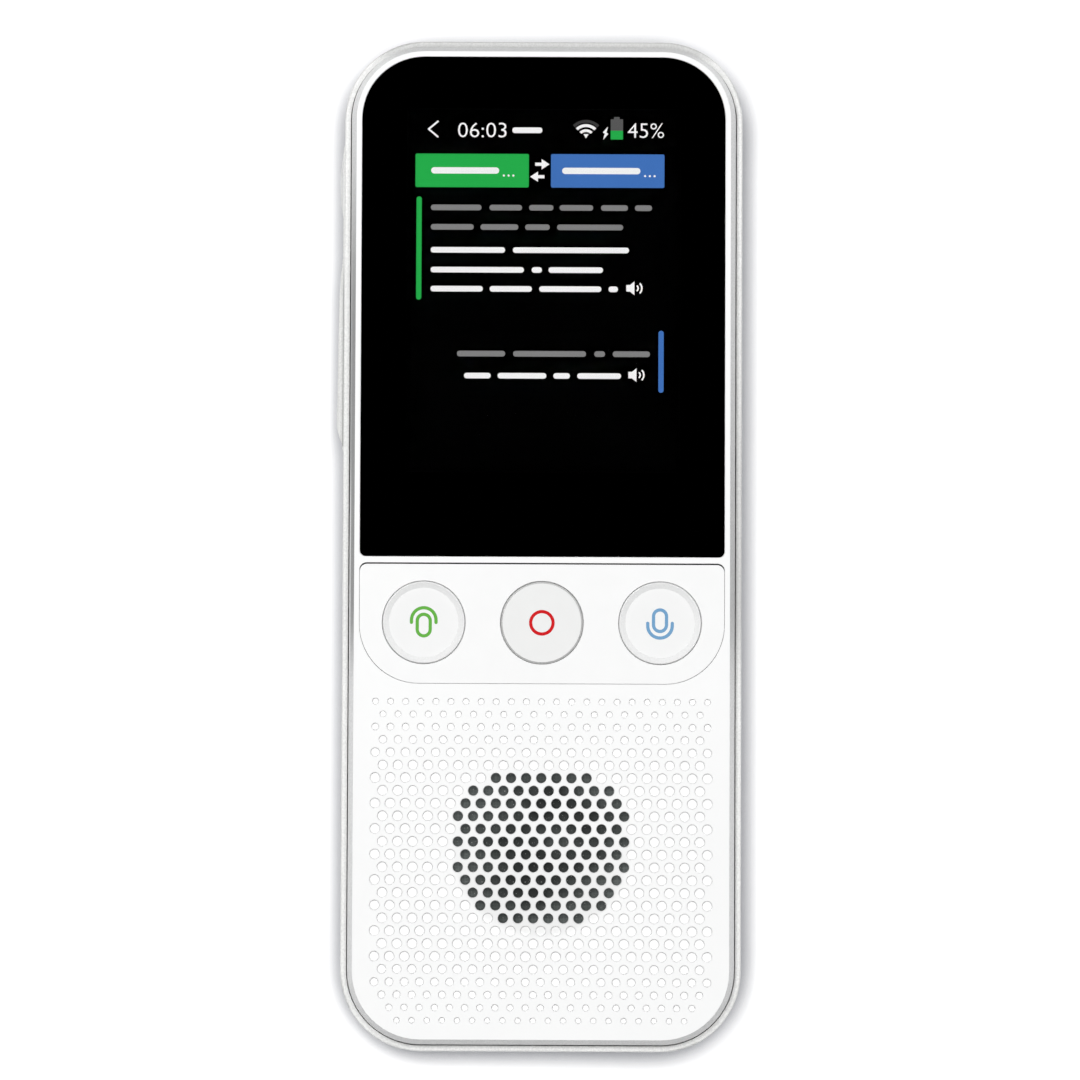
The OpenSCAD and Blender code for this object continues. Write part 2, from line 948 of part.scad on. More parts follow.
// Card flap, shut: its outer face lifts towards a finger lip near its free end
module card_flap() {
    z0 = side_z - flap_w / 2;
    foot_y = hinge_y - flap_drop;
    inner_x = -half_w + flap_in;
    color(white)
        difference() {
            intersection() {
                translate([0, 0, z0])
                    linear_extrude(flap_w) {
                        polygon([
                            [inner_x, hinge_y - 1.1],
                            [hinge_x - knuckle_r, hinge_y - 0.3],
                            [-half_w - 0.56, hinge_y - 2],
                            [-half_w - 0.74, hinge_y - 5.4],
                            [-half_w - 0.87, hinge_y - 12],
                            [-half_w - 0.95, foot_y + 5.2],
                            [-half_w - lip_rise, foot_y + 4.5],
                            [-half_w - lip_rise, foot_y + 3.3],
                            [-half_w - 0.97, foot_y + 2.2],
                            [-half_w - 0.62, foot_y + 1],
                            [-half_w - 0.2, foot_y],
                            [inner_x, foot_y]
                        ]);
                        translate([hinge_x, hinge_y])
                            circle(knuckle_r);
                        block_2d([hinge_x, hinge_y - 1.1], [inner_x, hinge_y]);
                    }
                translate([0, hinge_y + e + knuckle_r, side_z])
                    rotate([90, 0, 0])
                        linear_extrude(flap_drop + knuckle_r + 2 * e)
                            translate([-half_w + 2, 0])
                                rounded(6, flap_w, 0.5);
            }
            translate([hinge_x, hinge_y, 0])
                bar(flap_pin_r + pin_gap, z0 - e, z0 + flap_w + e);
        }
}

module block_2d(a, b) {
    translate(a)
        square(b - a);
}

module flap_pin() {
    color(steel)
        translate([hinge_x, hinge_y, 0])
            bar(flap_pin_r, side_z - flap_w / 2 - 0.95, side_z + flap_w / 2 + 0.95);
}

// Metal-topped card socket of depth l, from y0 to y1, with a slot gap high
module card_socket(l, y0, y1, card_w, gap) {
    x0 = card_x0;
    y = (y0 + y1) / 2;
    color(steel)
        difference() {
            block([x0, y0, board_z - 1.5], [x0 + l, y1, board_z]);
            block([x0 - e, y - card_w / 2, board_z - 0.3 - gap],
                  [x0 + l - 0.6, y + card_w / 2, board_z - 0.3]);
            for (s = [-1, 1])
                block([x0 + 3, y + s * card_w / 4 - card_w / 9, board_z - 1.5 - e],
                      [x0 + l - 4, y + s * card_w / 4 + card_w / 9, board_z - 0.5 - gap / 2]);
        }
}

module sim_socket() {
    card_socket(sim_l, slot_y1 + 0.2 - sim_card_w - 2 * sim_side, slot_y1 + 0.2, sim_card_w, 0.75);
}

module memory_card_socket() {
    card_socket(memory_card_l, slot_y0 - 0.2, slot_y0 - 0.2 + memory_card_w + 2 * memory_side,
                memory_card_w, 1);
}

// ---------- board ----------

module main_board() {
    color([0.06, 0.3, 0.16])
        difference() {
            inset_slab(wall + board_gap, board_z, board_top);
            at_screws()
                bar(screw_r + 0.25, board_z - e, board_top + e);
            block([-half_w, power_y - power_key_l / 2 - 1.2, board_z - e],
                  [power_inner_x + power_travel + 0.3, power_y + power_key_l / 2 + 1.2,
                   board_top + e]);
        }
}

module shield_can() {
    color(steel)
        difference() {
            block([can_x0, can_y0, board_top], [can_x1, can_y0 + can_l, board_top + 1.3 + can_t]);
            block([can_x0 + can_t, can_y0 + can_t, board_top - e],
                  [can_x1 - can_t, can_y0 + can_l - can_t, board_top + 1.3]);
        }
}

module processor() {
    color([0.1, 0.1, 0.11])
        block([can_x0 + 2, can_y0 + 3, board_top], [can_x0 + 14, can_y0 + 15, board_top + 0.9]);
}

module memory_chip() {
    color([0.12, 0.12, 0.13])
        block([can_x1 - 11.5, can_y0 + 3, board_top], [can_x1 - 1.5, can_y0 + 15, board_top + 0.8]);
}

// Chip capacitors and resistors: a row on each side of the shield and one above the keys
module chip_parts() {
    chip_row_y = (connector_y0 + keys_y + switch_w / 2) / 2;
    color([0.72, 0.62, 0.5]) {
        for (i = [0 : 7], x = [can_x0 - chip_side, can_x1 + chip_side])
            translate([x, can_y0 + 1 + i * 2.2, board_top])
                block([-0.5, -0.5, 0], [0.5, 0.5, 0.55]);
        for (i = [0 : 9])
            translate([-9 + i * 2, chip_row_y, board_top])
                block([-0.4, -0.6, 0], [0.4, 0.6, 0.5]);
    }
}

// Amplifier of the speaker and its two power chokes
module amplifier() {
    color([0.11, 0.11, 0.12]) {
        block([15.5, keys_y + 9, board_top], [19.5, keys_y + 13, board_top + 0.8]);
        for (y = [0, 4])
            block([-17.5, keys_y + 8.5 + y, board_top], [-14.5, keys_y + 11.5 + y, board_top + 1.2]);
    }
}

module antenna() {
    color([0.9, 0.9, 0.88])
        block([-9, half_h - 6.4, board_top], [7, half_h - 3.6, board_top + 1.4]);
}

module battery_tape() {
    color([0.9, 0.9, 0.9])
        block([battery_x0 + 3, battery_y0 + 5, floor_t],
              [battery_x0 + battery_w - 3, battery_y0 + battery_l - 5, floor_t + battery_tape_t]);
}

// Pouch cell with rounded long edges
module battery() {
    z = floor_t + battery_tape_t + battery_t / 2;
    color([0.75, 0.77, 0.8])
        translate([battery_x0 + battery_w / 2, battery_y0 + battery_l, z])
            rotate([90, 0, 0])
                linear_extrude(battery_l)
                    rounded(battery_w, battery_t, 1);
}

module battery_wires() {
    color([0.7, 0.1, 0.1])
        for (x = [-1, 1])
            translate([battery_x0 + 8 + x, battery_y0, floor_t + 3.6])
                rotate([90, 0, 0])
                    bar(0.45, 0, 3);
}

module battery_connector() {
    color([0.92, 0.9, 0.84])
        block([battery_x0 + 5, battery_y0 - 6, board_z - 1.9],
              [battery_x0 + 11, battery_y0 - 3, board_z]);
}

// ---------- speaker ----------

module speaker_basket() {
    color([0.12, 0.12, 0.12])
        translate([0, speaker_y, 0])
            difference() {
                bar(speaker_r, basket_z0, basket_z1);
                bar(speaker_r - basket_t, basket_z0 + 0.7, basket_z1 + e);
                bar(magnet_r + 0.05, basket_z0 - e, basket_z1);
                for (i = [0 : basket_windows - 1])
                    rotate((i + 0.5) * 360 / basket_windows)
                        block([magnet_r + 1.5, -2, basket_z0 - e],
                              [speaker_r - basket_t - 0.6, 2, basket_z0 + 0.7 + e]);
            }
}

module speaker_magnet() {
    z0 = basket_z0 - 0.6;
    color([0.35, 0.36, 0.38])
        translate([0, speaker_y, 0])
            difference() {
                bar(magnet_r, z0, z0 + 2);
                difference() {
                    bar(6.1, z0 + 0.7, z0 + 2 + e);
                    bar(4.9, z0, z0 + 2 + 2 * e);
                }
            }
}

module speaker_coil() {
    color([0.72, 0.4, 0.2])
        translate([0, speaker_y, 0])
            difference() {
                bar(5.8, basket_z0 + 0.6, cone_z - cone_t);
                bar(5.2, basket_z0, cone_z);
            }
}

// Cone with a dust cap in its middle and a rolled surround at its rim
module speaker_cone() {
    rim_r = speaker_r - basket_t;
    path = [
        [0, 0.5], [3, 0.35], [5.3, 0], [5.8, 0],
        [rim_r - 1.6, 0.5], [rim_r - 0.8, 0.8], [rim_r, 0.5]
    ];
    color([0.2, 0.2, 0.21])
        translate([0, speaker_y, cone_z])
            rotate_extrude()
                polygon(concat(
                    path,
                    [for (i = [len(path) - 1 : -1 : 0]) path[i] - [0, cone_t]]
                ));
}

module speaker_gasket() {
    color([0.08, 0.08, 0.08])
        translate([0, speaker_y, 0])
            difference() {
                bar(speaker_r, basket_z1, front_in);
                bar(speaker_r - basket_t, basket_z1 - e, front_in + e);
            }
}

module speaker_contacts() {
    color(gold)
        for (x = [-10.4, 10.4])
            translate([x, speaker_y, 0])
                bar(0.5, board_top, basket_z0);
}

// Fine dust mesh behind the open holes
module grille_mesh() {
    color([0.15, 0.15, 0.15])
        translate([0, speaker_y, 0])
            bar(speaker_r - basket_t - 0.1, front_in - mesh_t, front_in);
}

// ---------- sockets, microphones and fasteners ----------

module usb_shell() {
    color(steel)
        translate([0, -half_h + 0.2, usb_z])
            rotate([-90, 0, 0])
                difference() {
                    linear_extrude(usb_l)
                        stadium(usb_w, usb_h);
                    translate([0, 0, -e])
                        linear_extrude(usb_l + e - 0.8)
                            stadium(usb_w - 2 * usb_wall, usb_h - 2 * usb_wall);
                }
}

module usb_tongue() {
    color([0.1, 0.1, 0.1])
        block([-3.34, -half_h + 0.7, usb_z - 0.35], [3.34, -half_h + usb_l - 0.6, usb_z + 0.35]);
}

module microphones() {
    color(gold)
        for (s = [-1, 1])
            translate([mic_x, s * (half_h - wall - 3.2), 0])
                difference() {
                    block([-1.75, -1.3, board_z - 1], [1.75, 1.3, board_z]);
                    bar(0.3, board_z - 1 - e, board_z - 0.6);
                }
}

// Rubber boots that lead sound from the pinholes to the microphones
module microphone_boots() {
    color([0.1, 0.1, 0.1])
        for (s = [0, 1])
            mirror([0, s, 0])
                translate([mic_x, half_h - wall, 0])
                    difference() {
                        block([-2.2, -5, mic_z - 1], [2.2, 0, board_z - 1]);
                        translate([0, 0, mic_z])
                            rotate([90, 0, 0])
                                bar(mic_hole_r, -e, 3.2);
                        translate([0, -3.2, 0])
                            bar(mic_hole_r, mic_z, board_z);
                    }
}

module thread_inserts() {
    color(gold)
        at_screws()
            difference() {
                bar(insert_r, board_top + 0.1, board_top + 0.1 + insert_l);
                bar(screw_r + 0.02, board_top - e, board_top + insert_l + e);
            }
}

// Cross-recessed screws that go in from the back
module case_screws() {
    color([0.5, 0.5, 0.52])
        at_screws()
            difference() {
                union() {
                    bar(head_r, head_sink, head_z);
                    bar(screw_r, head_z, board_top + 2.6);
                }
                for (a = [0, 90])
                    rotate(a)
                        block([-1, -0.17, head_sink - e], [1, 0.17, head_sink + 0.6]);
            }
}

front_cover();
rear_cover();
key_panel();
panel_tape();
cover_glass();
glass_tape();
lcd_gasket();
lcd_panel();
backlight_tray();
lcd_flex();
lcd_connector();
left_key();
centre_key();
right_key();
left_glyph();
centre_glyph();
right_glyph();
key_switches();
key_domes();
left_plunger();
centre_plunger();
right_plunger();
power_key();
power_plunger();
power_switch();
card_flap();
flap_pin();
sim_socket();
memory_card_socket();
main_board();
shield_can();
processor();
memory_chip();
chip_parts();
amplifier();
antenna();
battery();
battery_tape();
battery_wires();
battery_connector();
speaker_basket();
speaker_magnet();
speaker_coil();
speaker_cone();
speaker_gasket();
speaker_contacts();
grille_mesh();
usb_shell();
usb_tongue();
microphones();
microphone_boots();
thread_inserts();
case_screws();
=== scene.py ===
# %% [markdown]
# # Dressing a handheld translator
#
# A voice translator is a slim white slab: a glass front with a small display, three round
# talk keys, a field of dimples whose middle opens to the speaker, a power key and a small
# flap on the left side. The packed model already has every solid at its true size, so this
# lesson adds what a solid lacks: light, finishes, and what the display shows.
#
# The model is loaded first and never moved, and new pieces take their places from its boxes.

# %% Load the packed model
import math

import bmesh
import bpy
from mathutils import Matrix, Vector


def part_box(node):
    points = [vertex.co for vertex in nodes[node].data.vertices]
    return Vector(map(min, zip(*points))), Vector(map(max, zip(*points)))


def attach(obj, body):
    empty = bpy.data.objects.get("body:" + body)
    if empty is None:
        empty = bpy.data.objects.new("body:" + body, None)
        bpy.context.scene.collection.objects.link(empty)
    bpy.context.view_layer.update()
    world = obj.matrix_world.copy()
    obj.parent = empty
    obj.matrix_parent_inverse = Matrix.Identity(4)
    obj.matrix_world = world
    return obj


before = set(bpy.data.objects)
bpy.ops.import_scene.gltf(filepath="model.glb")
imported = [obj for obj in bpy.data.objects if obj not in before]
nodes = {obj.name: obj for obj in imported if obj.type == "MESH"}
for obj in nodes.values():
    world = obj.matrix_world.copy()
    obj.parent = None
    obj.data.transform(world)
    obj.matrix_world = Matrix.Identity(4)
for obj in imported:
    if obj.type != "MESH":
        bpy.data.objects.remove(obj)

MM = 0.001
scene = bpy.context.scene
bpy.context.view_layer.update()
face_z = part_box("front_cover")[1].z
print(len(nodes), "nodes, front face at", round(face_z / MM, 2), "mm")

# %% [markdown]
# ## The camera
#
# A product shot like this is taken from nearly straight above with a long lens, so that the
# slab keeps its proportions. A wide lens held close would work too, but it would swell what
# is nearest. The camera leans a few degrees towards the lower end, which makes that end a
# touch wider, and it is turned by a quarter of a degree, as a tripod never stands quite true.

# %% Place the camera
FRAME_WIDTH = 145.43 * MM
CAMERA_DISTANCE = 800 * MM
CAMERA_LEAN = math.radians(3.29)
CAMERA_ROLL = math.radians(0.24)
LOOK_AT = Vector((-0.30 * MM, 0.46 * MM, face_z))

camera_data = bpy.data.cameras.new("camera")
camera_data.sensor_width = 36
camera_data.angle = 2 * math.atan(FRAME_WIDTH / 2 / CAMERA_DISTANCE)
camera_data.clip_start = 0.01
camera_data.clip_end = 20
camera = bpy.data.objects.new("camera", camera_data)
scene.collection.objects.link(camera)
lean = Matrix.Rotation(CAMERA_LEAN, 4, "X")
roll = Matrix.Rotation(CAMERA_ROLL, 4, "Z")
back_off = Matrix.Translation((0, 0, CAMERA_DISTANCE))
camera.matrix_world = Matrix.Translation(LOOK_AT) @ lean @ roll @ back_off
scene.camera = camera
print("lens", round(camera_data.lens), "mm for a", CAMERA_DISTANCE, "m distance")

# %% [markdown]
# ## A class for shader sums
#
# A material is a graph of nodes, and wiring it by hand hides the sums in it. Here an output
# socket is wrapped in a small class with Python's own operators, so that `1 - mask * 0.3`
# adds the two Math nodes and reads as what it is. Every other node comes from one method,
# which sets the node's settings first and then its sockets.

# %% Wrap a socket
class Wire:
    """An output socket that can be added, taken away, multiplied and divided."""

    def __init__(self, graph, socket):
        self.graph = graph
        self.socket = socket

    def sum(self, operation, first, second):
        return self.graph.node("ShaderNodeMath", {0: first, 1: second}, operation=operation)

    def __add__(self, other):
        return self.sum("ADD", self, other)

    def __radd__(self, other):
        return self.sum("ADD", other, self)

    def __sub__(self, other):
        return self.sum("SUBTRACT", self, other)

    def __rsub__(self, other):
        return self.sum("SUBTRACT", other, self)

    def __mul__(self, other):
        return self.sum("MULTIPLY", self, other)

    def __rmul__(self, other):
        return self.sum("MULTIPLY", other, self)

    def __truediv__(self, other):
        return self.sum("DIVIDE", self, other)

    def __rtruediv__(self, other):
        return self.sum("DIVIDE", other, self)


print("sums that may start with a number:", [name for name in vars(Wire) if "__r" in name])

# %% Wrap a node tree
class Graph:
    """The node tree of a material or of the world."""

    def __init__(self, owner):
        owner.use_nodes = True
        self.tree = owner.node_tree
        self.tree.nodes.clear()

    def node(self, kind, sockets=None, output=0, **settings):
        """Adds a node: settings first, then the values or wires of its sockets."""
        made = self.tree.nodes.new(kind)
        for name, value in settings.items():
            setattr(made, name, value)
        for key, value in (sockets or {}).items():
            if isinstance(value, Wire):
                self.tree.links.new(value.socket, made.inputs[key])
            else:
                made.inputs[key].default_value = value
        return Wire(self, made.outputs[output]) if made.outputs else made

    def split(self, vector, *axes):
        """The wires of a vector's axes, 0 to 2."""
        return [self.node("ShaderNodeSeparateXYZ", {0: vector}, axis) for axis in axes]

    def distance(self, first, second):
        return self.node("ShaderNodeVectorMath", {0: first, 1: second}, 1, operation="DISTANCE")

    def range(self, value, low, high, to_low=0.0, to_high=1.0):
        """Value's stretch from low to high becomes to_low to to_high, with soft ends."""
        return self.node("ShaderNodeMapRange",
                         {"Value": value, "From Min": low, "From Max": high,
                          "To Min": to_low, "To Max": to_high},
                         interpolation_type="SMOOTHSTEP")

    def mix(self, mask, first, second):
        """Colour that goes from first to second with the mask."""
        return self.node("ShaderNodeMix", {0: mask, 6: first, 7: second}, 2, data_type="RGBA")

    def place(self):
        """Where a point is on the object, in millimetres."""
        at = self.node("ShaderNodeTexCoord", output=3)
        return self.node("ShaderNodeMapping", {"Vector": at, "Scale": (1 / MM,) * 3})

    def noise(self, at, scale, detail=2.0):
        """Noise with about this many lumps to a millimetre."""
        return self.node("ShaderNodeTexNoise", {"Vector": at, "Scale": scale, "Detail": detail})

    def seen(self):
        """1 on rays that show things, straight or by mirror or glass, and 0 on those that light."""
        return (self.node("ShaderNodeLightPath", output="Is Camera Ray")
                + self.node("ShaderNodeLightPath", output="Is Glossy Ray")
                + self.node("ShaderNodeLightPath", output="Is Transmission Ray"))

    def bump(self, height, depth, normal=None):
        """Normal of a surface raised by height, 0 to 1, times a depth in millimetres."""
        sockets = {"Height": height, "Strength": 1.0, "Distance": depth * MM}
        if normal:
            sockets["Normal"] = normal
        return self.node("ShaderNodeBump", sockets)


# %% [markdown]
# ## Light
#
# Catalogue pictures of white goods are lit by soft boxes just off the vertical on either
# side of the camera. The camera then sees its own dark surroundings in the glass, which is
# why a glass front turns black in such pictures while the white plastic stays bright. Lamps
# straight above would be simpler, but the glass would mirror them.
#
# The world is a soft white room with a dark flag overhead for the same reason. Its side
# walls are brighter than its ceiling, which lights the rim and the long sides of the slab.
# Its end walls are dim, so the two ends stay greyer. The camera sees the room at strength 1,
# which is plain white, apart from the flag.

# %% Build the world
FLAG_EDGE = math.cos(math.radians(20))
FLAG_CORE = math.cos(math.radians(14))
CEILING_LEVEL = 0.15
SIDE_WALL_LEVEL = 0.8
END_WALL_LEVEL = 0.1
WALL_TOP, CEILING_START = 0.2, 0.45
SIDE_WALL_END, END_WALL_START = 0.4, 0.95
COOL_WHITE = (0.96, 0.98, 1, 1)


def white_room():
    """Room whose light comes from its walls. Heights and directions are parts of 1."""
    world = bpy.data.worlds.new("white_room")
    scene.world = world
    g = Graph(world)
    along, up = g.split(g.node("ShaderNodeTexCoord", output=0), 1, 2)
    endwise = g.node("ShaderNodeMath", {0: along}, operation="ABSOLUTE")
    open_sky = g.range(up, FLAG_EDGE, FLAG_CORE, 1.0, 0.0)
    wall_level = g.range(endwise, SIDE_WALL_END, END_WALL_START, SIDE_WALL_LEVEL, END_WALL_LEVEL)
    walls = g.range(up, WALL_TOP, CEILING_START, wall_level, CEILING_LEVEL)
    room = g.node("ShaderNodeBackground", {"Color": (1, 1, 1, 1), "Strength": open_sky})
    fill = g.node("ShaderNodeBackground", {"Color": COOL_WHITE, "Strength": open_sky * walls})
    both = g.node("ShaderNodeMixShader", {0: g.seen(), 1: fill, 2: room})
    g.node("ShaderNodeOutputWorld", {"Surface": both})
    return world


print("world:", white_room().name)

# %% Hang the soft boxes
BOX_SIDE = 0.30
BOX_DISTANCE = 1.1
BOX_OFF_VERTICAL = math.radians(20)


def soft_box(name, compass, power):
    """Square lamp that faces the object. Compass 0 is its top end and 90 its right side."""
    lamp = bpy.data.lights.new(name, "AREA")
    lamp.energy = power
    lamp.size = BOX_SIDE
    turn = Matrix.Rotation(math.radians(-compass), 4, "Z")
    tip = Matrix.Rotation(-BOX_OFF_VERTICAL, 4, "X")
    box = bpy.data.objects.new(name, lamp)
    scene.collection.objects.link(box)
    box.matrix_world = turn @ tip @ Matrix.Translation((0, 0, BOX_DISTANCE))
    return box


for name, compass, power in (
        ("upper_left_box", 315, 4.45),
        ("upper_right_box", 45, 2.35),
        ("lower_right_box", 135, 1.75),
        ("lower_left_box", 225, 2.0)):
    made = soft_box(name, compass, power)
    print(name, [round(v, 2) for v in made.matrix_world.translation])

# %% [markdown]
# ## The table
#
# The slab lies on a table that runs out of sight. Its paint is a middling grey, so that it
# throws little light up at the sides, and a glow that only the camera, mirrors and glass see
# makes it melt into the white room. Close to the slab the lamps' own shadows are faint, so a
# painted shadow draws the thin dark line all round: the glow fades where an ambient
# occlusion node finds a place shut in. The fade reaches further out to the right, the side
# away from the strongest lamp at the upper left, and past the top end too.

# %% Lay the table
TABLE_SIDE = 6.0
TABLE_PAINT = (0.55, 0.55, 0.555, 1)
TABLE_GLOW = (0.9, 0.9, 0.9, 1)
# Colour of the painted shadow where the glow has faded, a little blue.
TABLE_SHUT_IN = (0, 0.003, 0.02, 1)
SHUT_IN = 0.55
NEAR_REACH, FAR_REACH = 3.6, 6.6
FAR_SHARE_RIGHT, FAR_SHARE_TOP = 0.35, 0.4
bpy.ops.object.select_all(action="DESELECT")
bpy.ops.mesh.primitive_plane_add(size=TABLE_SIDE, location=(0, 0, 0))
table = bpy.context.object
table.name = "table"


def table_paint():
    """Matt paint and a glow that fades where less than SHUT_IN of the room is open: a painted
    shadow.
    """
    paint = bpy.data.materials.new("table_paint")
    g = Graph(paint)
    matt = g.node("ShaderNodeBsdfDiffuse", {"Color": TABLE_PAINT})
    across, along = g.split(g.place(), 0, 1)
    far_right = g.range(across, -30, 30, 0.0, FAR_SHARE_RIGHT)
    far = far_right + g.range(along, 50, 66, 0.0, FAR_SHARE_TOP)
    near_open, far_open = (
        g.node("ShaderNodeAmbientOcclusion", {"Distance": reach * MM}, "AO", samples=12)
        for reach in (NEAR_REACH, FAR_REACH))
    openness = near_open + (far_open - near_open) * far
    tone = g.mix((openness - SHUT_IN) / (1 - SHUT_IN), TABLE_SHUT_IN, TABLE_GLOW)
    glow = g.node("ShaderNodeEmission", {"Color": tone, "Strength": g.seen()})
    both = g.node("ShaderNodeAddShader", {0: matt, 1: glow})
    g.node("ShaderNodeOutputMaterial", {"Surface": both})
    return paint


table.data.materials.append(table_paint())
print("table", TABLE_SIDE, "m square at z", table.location.z)

# %% [markdown]
# ## Colours as they are
#
# A filmic view transform would bend every tone to look like film stock, which suits a
# landscape. Here a colour has to come out as it is written, so the plain transform is used.

# %% Keep the view settings plain
scene.view_settings.view_transform = "Standard"
print("view transform:", scene.view_settings.view_transform)

# %% [markdown]
# ## Finishes
#
# Each kind of finish is a function named for what it is on the device. All of them start from
# the same Principled shader. Constants such as the index of refraction sit on its own sockets,
# and only what changes over the surface is wired: colour, roughness, metal, normal.

# %% Start a finish
class Finish(Graph):
    """A material with one Principled shader whose sockets are named in Python."""

    def __init__(self, name, constants=None):
        self.material = bpy.data.materials.new(name)
        super().__init__(self.material)
        self.shader = self.tree.nodes.new("ShaderNodeBsdfPrincipled")
        output = self.tree.nodes.new("ShaderNodeOutputMaterial")
        self.tree.links.new(self.shader.outputs[0], output.inputs["Surface"])
        self.set(constants or {})

    def set(self, sockets):
        for name, value in sockets.items():
            if isinstance(value, Wire):
                self.tree.links.new(value.socket, self.shader.inputs[name])
            else:
                self.shader.inputs[name].default_value = value


def shade(colour, factor):
    """The colour made lighter or darker by a factor, with its alpha."""
    return tuple(min(1.0, c * factor) for c in colour[:3]) + (1.0,)


# %% [markdown]
# ## Moulded white plastic
#
# The covers and keys are injection-moulded in glossy white. A real moulding is never quite
# even: its steel tool leaves a grain a tenth of a millimetre wide, the melt leaves broad
# clouds of tone, and handling leaves the gloss a little patchy. Steep faces have a sandy
# skin and carry painted shade, so they come out darker than the top. On them, more painted
# shade greys the top end and the middle of the long sides, the left one most, though the
# bevel's outermost edge on the left stays a bright line. Painted shade also darkens the
# walls of the seam between the covers and the walls that look to the foot, such as those of
# the dimples. A grey tone lies between the open holes, most at the lower end. A picture of
# plastic could be wrapped on, but noise at true scale holds up at any distance.

# %% Painted shade along the long sides and at the top end
# Stretches along the slab and across it, in millimetres, over which a tone fades.
SIDE_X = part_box("front_cover")[1].x / MM
SIDE_SHADE_FOOT = (-21, -8)
LEFT_SHADE_HEAD = (28, 62)
RIGHT_SHADE_HEAD = (-16, 56)
SIDE_SHADE_EDGE = (SIDE_X - 1.5, SIDE_X - 1)
RIM_OUTER_EDGE = (-SIDE_X, 0.06 - SIDE_X)
RIM_INNER_EDGE = (0.12 - SIDE_X, 0.28 - SIDE_X)
BRIGHT_EDGE_FADE = (3, 13)
BRIGHT_EDGE_FOOT, BRIGHT_EDGE_HEAD = 0.95, 0.3
TOP_END, TOP_END_SHADE = (65, 67), 0.74
print("front cover reaches", round(SIDE_X, 2), "mm to the side")


def painted_side_shade(f, at, left_shade, right_shade):
    """Painted shade: a tone below 1 by the left or right share in the middle of a side, lower at
    the top end.
    """
    across, along = f.split(at, 0, 1)
    foot = f.range(along, *SIDE_SHADE_FOOT)
    rim = f.range(across, *RIM_OUTER_EDGE) * f.range(across, *RIM_INNER_EDGE, 1, 0)
    # The bevel's outermost edge on the left is kept out of the painted shade and stays a bright
    # line.
    shade_off_edge = 1 - rim * f.range(along, *BRIGHT_EDGE_FADE, BRIGHT_EDGE_FOOT, BRIGHT_EDGE_HEAD)
    left_edge = f.range(across, -SIDE_SHADE_EDGE[0], -SIDE_SHADE_EDGE[1], 0, left_shade)
    right_edge = f.range(across, *SIDE_SHADE_EDGE, 0, right_shade)
    left = left_edge * shade_off_edge * foot * f.range(along, *LEFT_SHADE_HEAD, 1, 0)
    right = right_edge * foot * f.range(along, *RIGHT_SHADE_HEAD, 1, 0)
    # The top end is greyer by painted shade.
    return (1 - left - right) * f.range(along, *TOP_END, 1, TOP_END_SHADE)


# %% Painted shade in the seam, and a grey tone between the holes
SEAM_FOOT, SEAM_TOP = 9.4, 11.2
SEAM_SHADE_SPAN = (-64, -20)
SEAM_SHADE_FOOT, SEAM_SHADE_HEAD = 0.5, 0.93
HOLE_GREY_SPAN = (-49, -36)
HOLE_GREY_FOOT, HOLE_GREY_HEAD = 0.16, 0.03
MESH_LOW, MESH_HIGH = (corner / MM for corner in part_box("grille_mesh"))
MESH_RADIUS = (MESH_HIGH.x - MESH_LOW.x) / 2
HOLE_FIELD_GREY = (0.35, 0.35, 0.34, 1)
print("seam from", SEAM_FOOT, "to", SEAM_TOP, "mm, radius of the mesh", round(MESH_RADIUS, 1), "mm")


def painted_seam_shade(f, at, side):
    """Painted shade on the seam's walls. Side 1 takes the walls that look outward, -1 those inward.
    """
    facing = f.node("ShaderNodeTexCoord", output=1)
    outward = f.node("ShaderNodeVectorMath", {0: facing, 1: at}, 1, operation="DOT_PRODUCT")
    along, height = f.split(at, 1, 2)
    above = f.range(height, SEAM_FOOT - 0.1, SEAM_FOOT)
    below = f.range(height, SEAM_TOP, SEAM_TOP + 0.5, 1, 0)
    strength = f.range(along, *SEAM_SHADE_SPAN, SEAM_SHADE_FOOT, SEAM_SHADE_HEAD)
    return 1 - f.range(outward * side, 1, 5) * above * below * strength


def hole_field_grey(f, at):
    """Share of a grey tone between the open holes, most at the lower end."""
    off_centre = f.distance(at, (MESH_LOW + MESH_HIGH) / 2)
    along, = f.split(at, 1)
    field = f.range(off_centre, 0.9 * MESH_RADIUS, MESH_RADIUS, 1, 0)
    return field * f.range(along, *HOLE_GREY_SPAN, HOLE_GREY_FOOT, HOLE_GREY_HEAD)


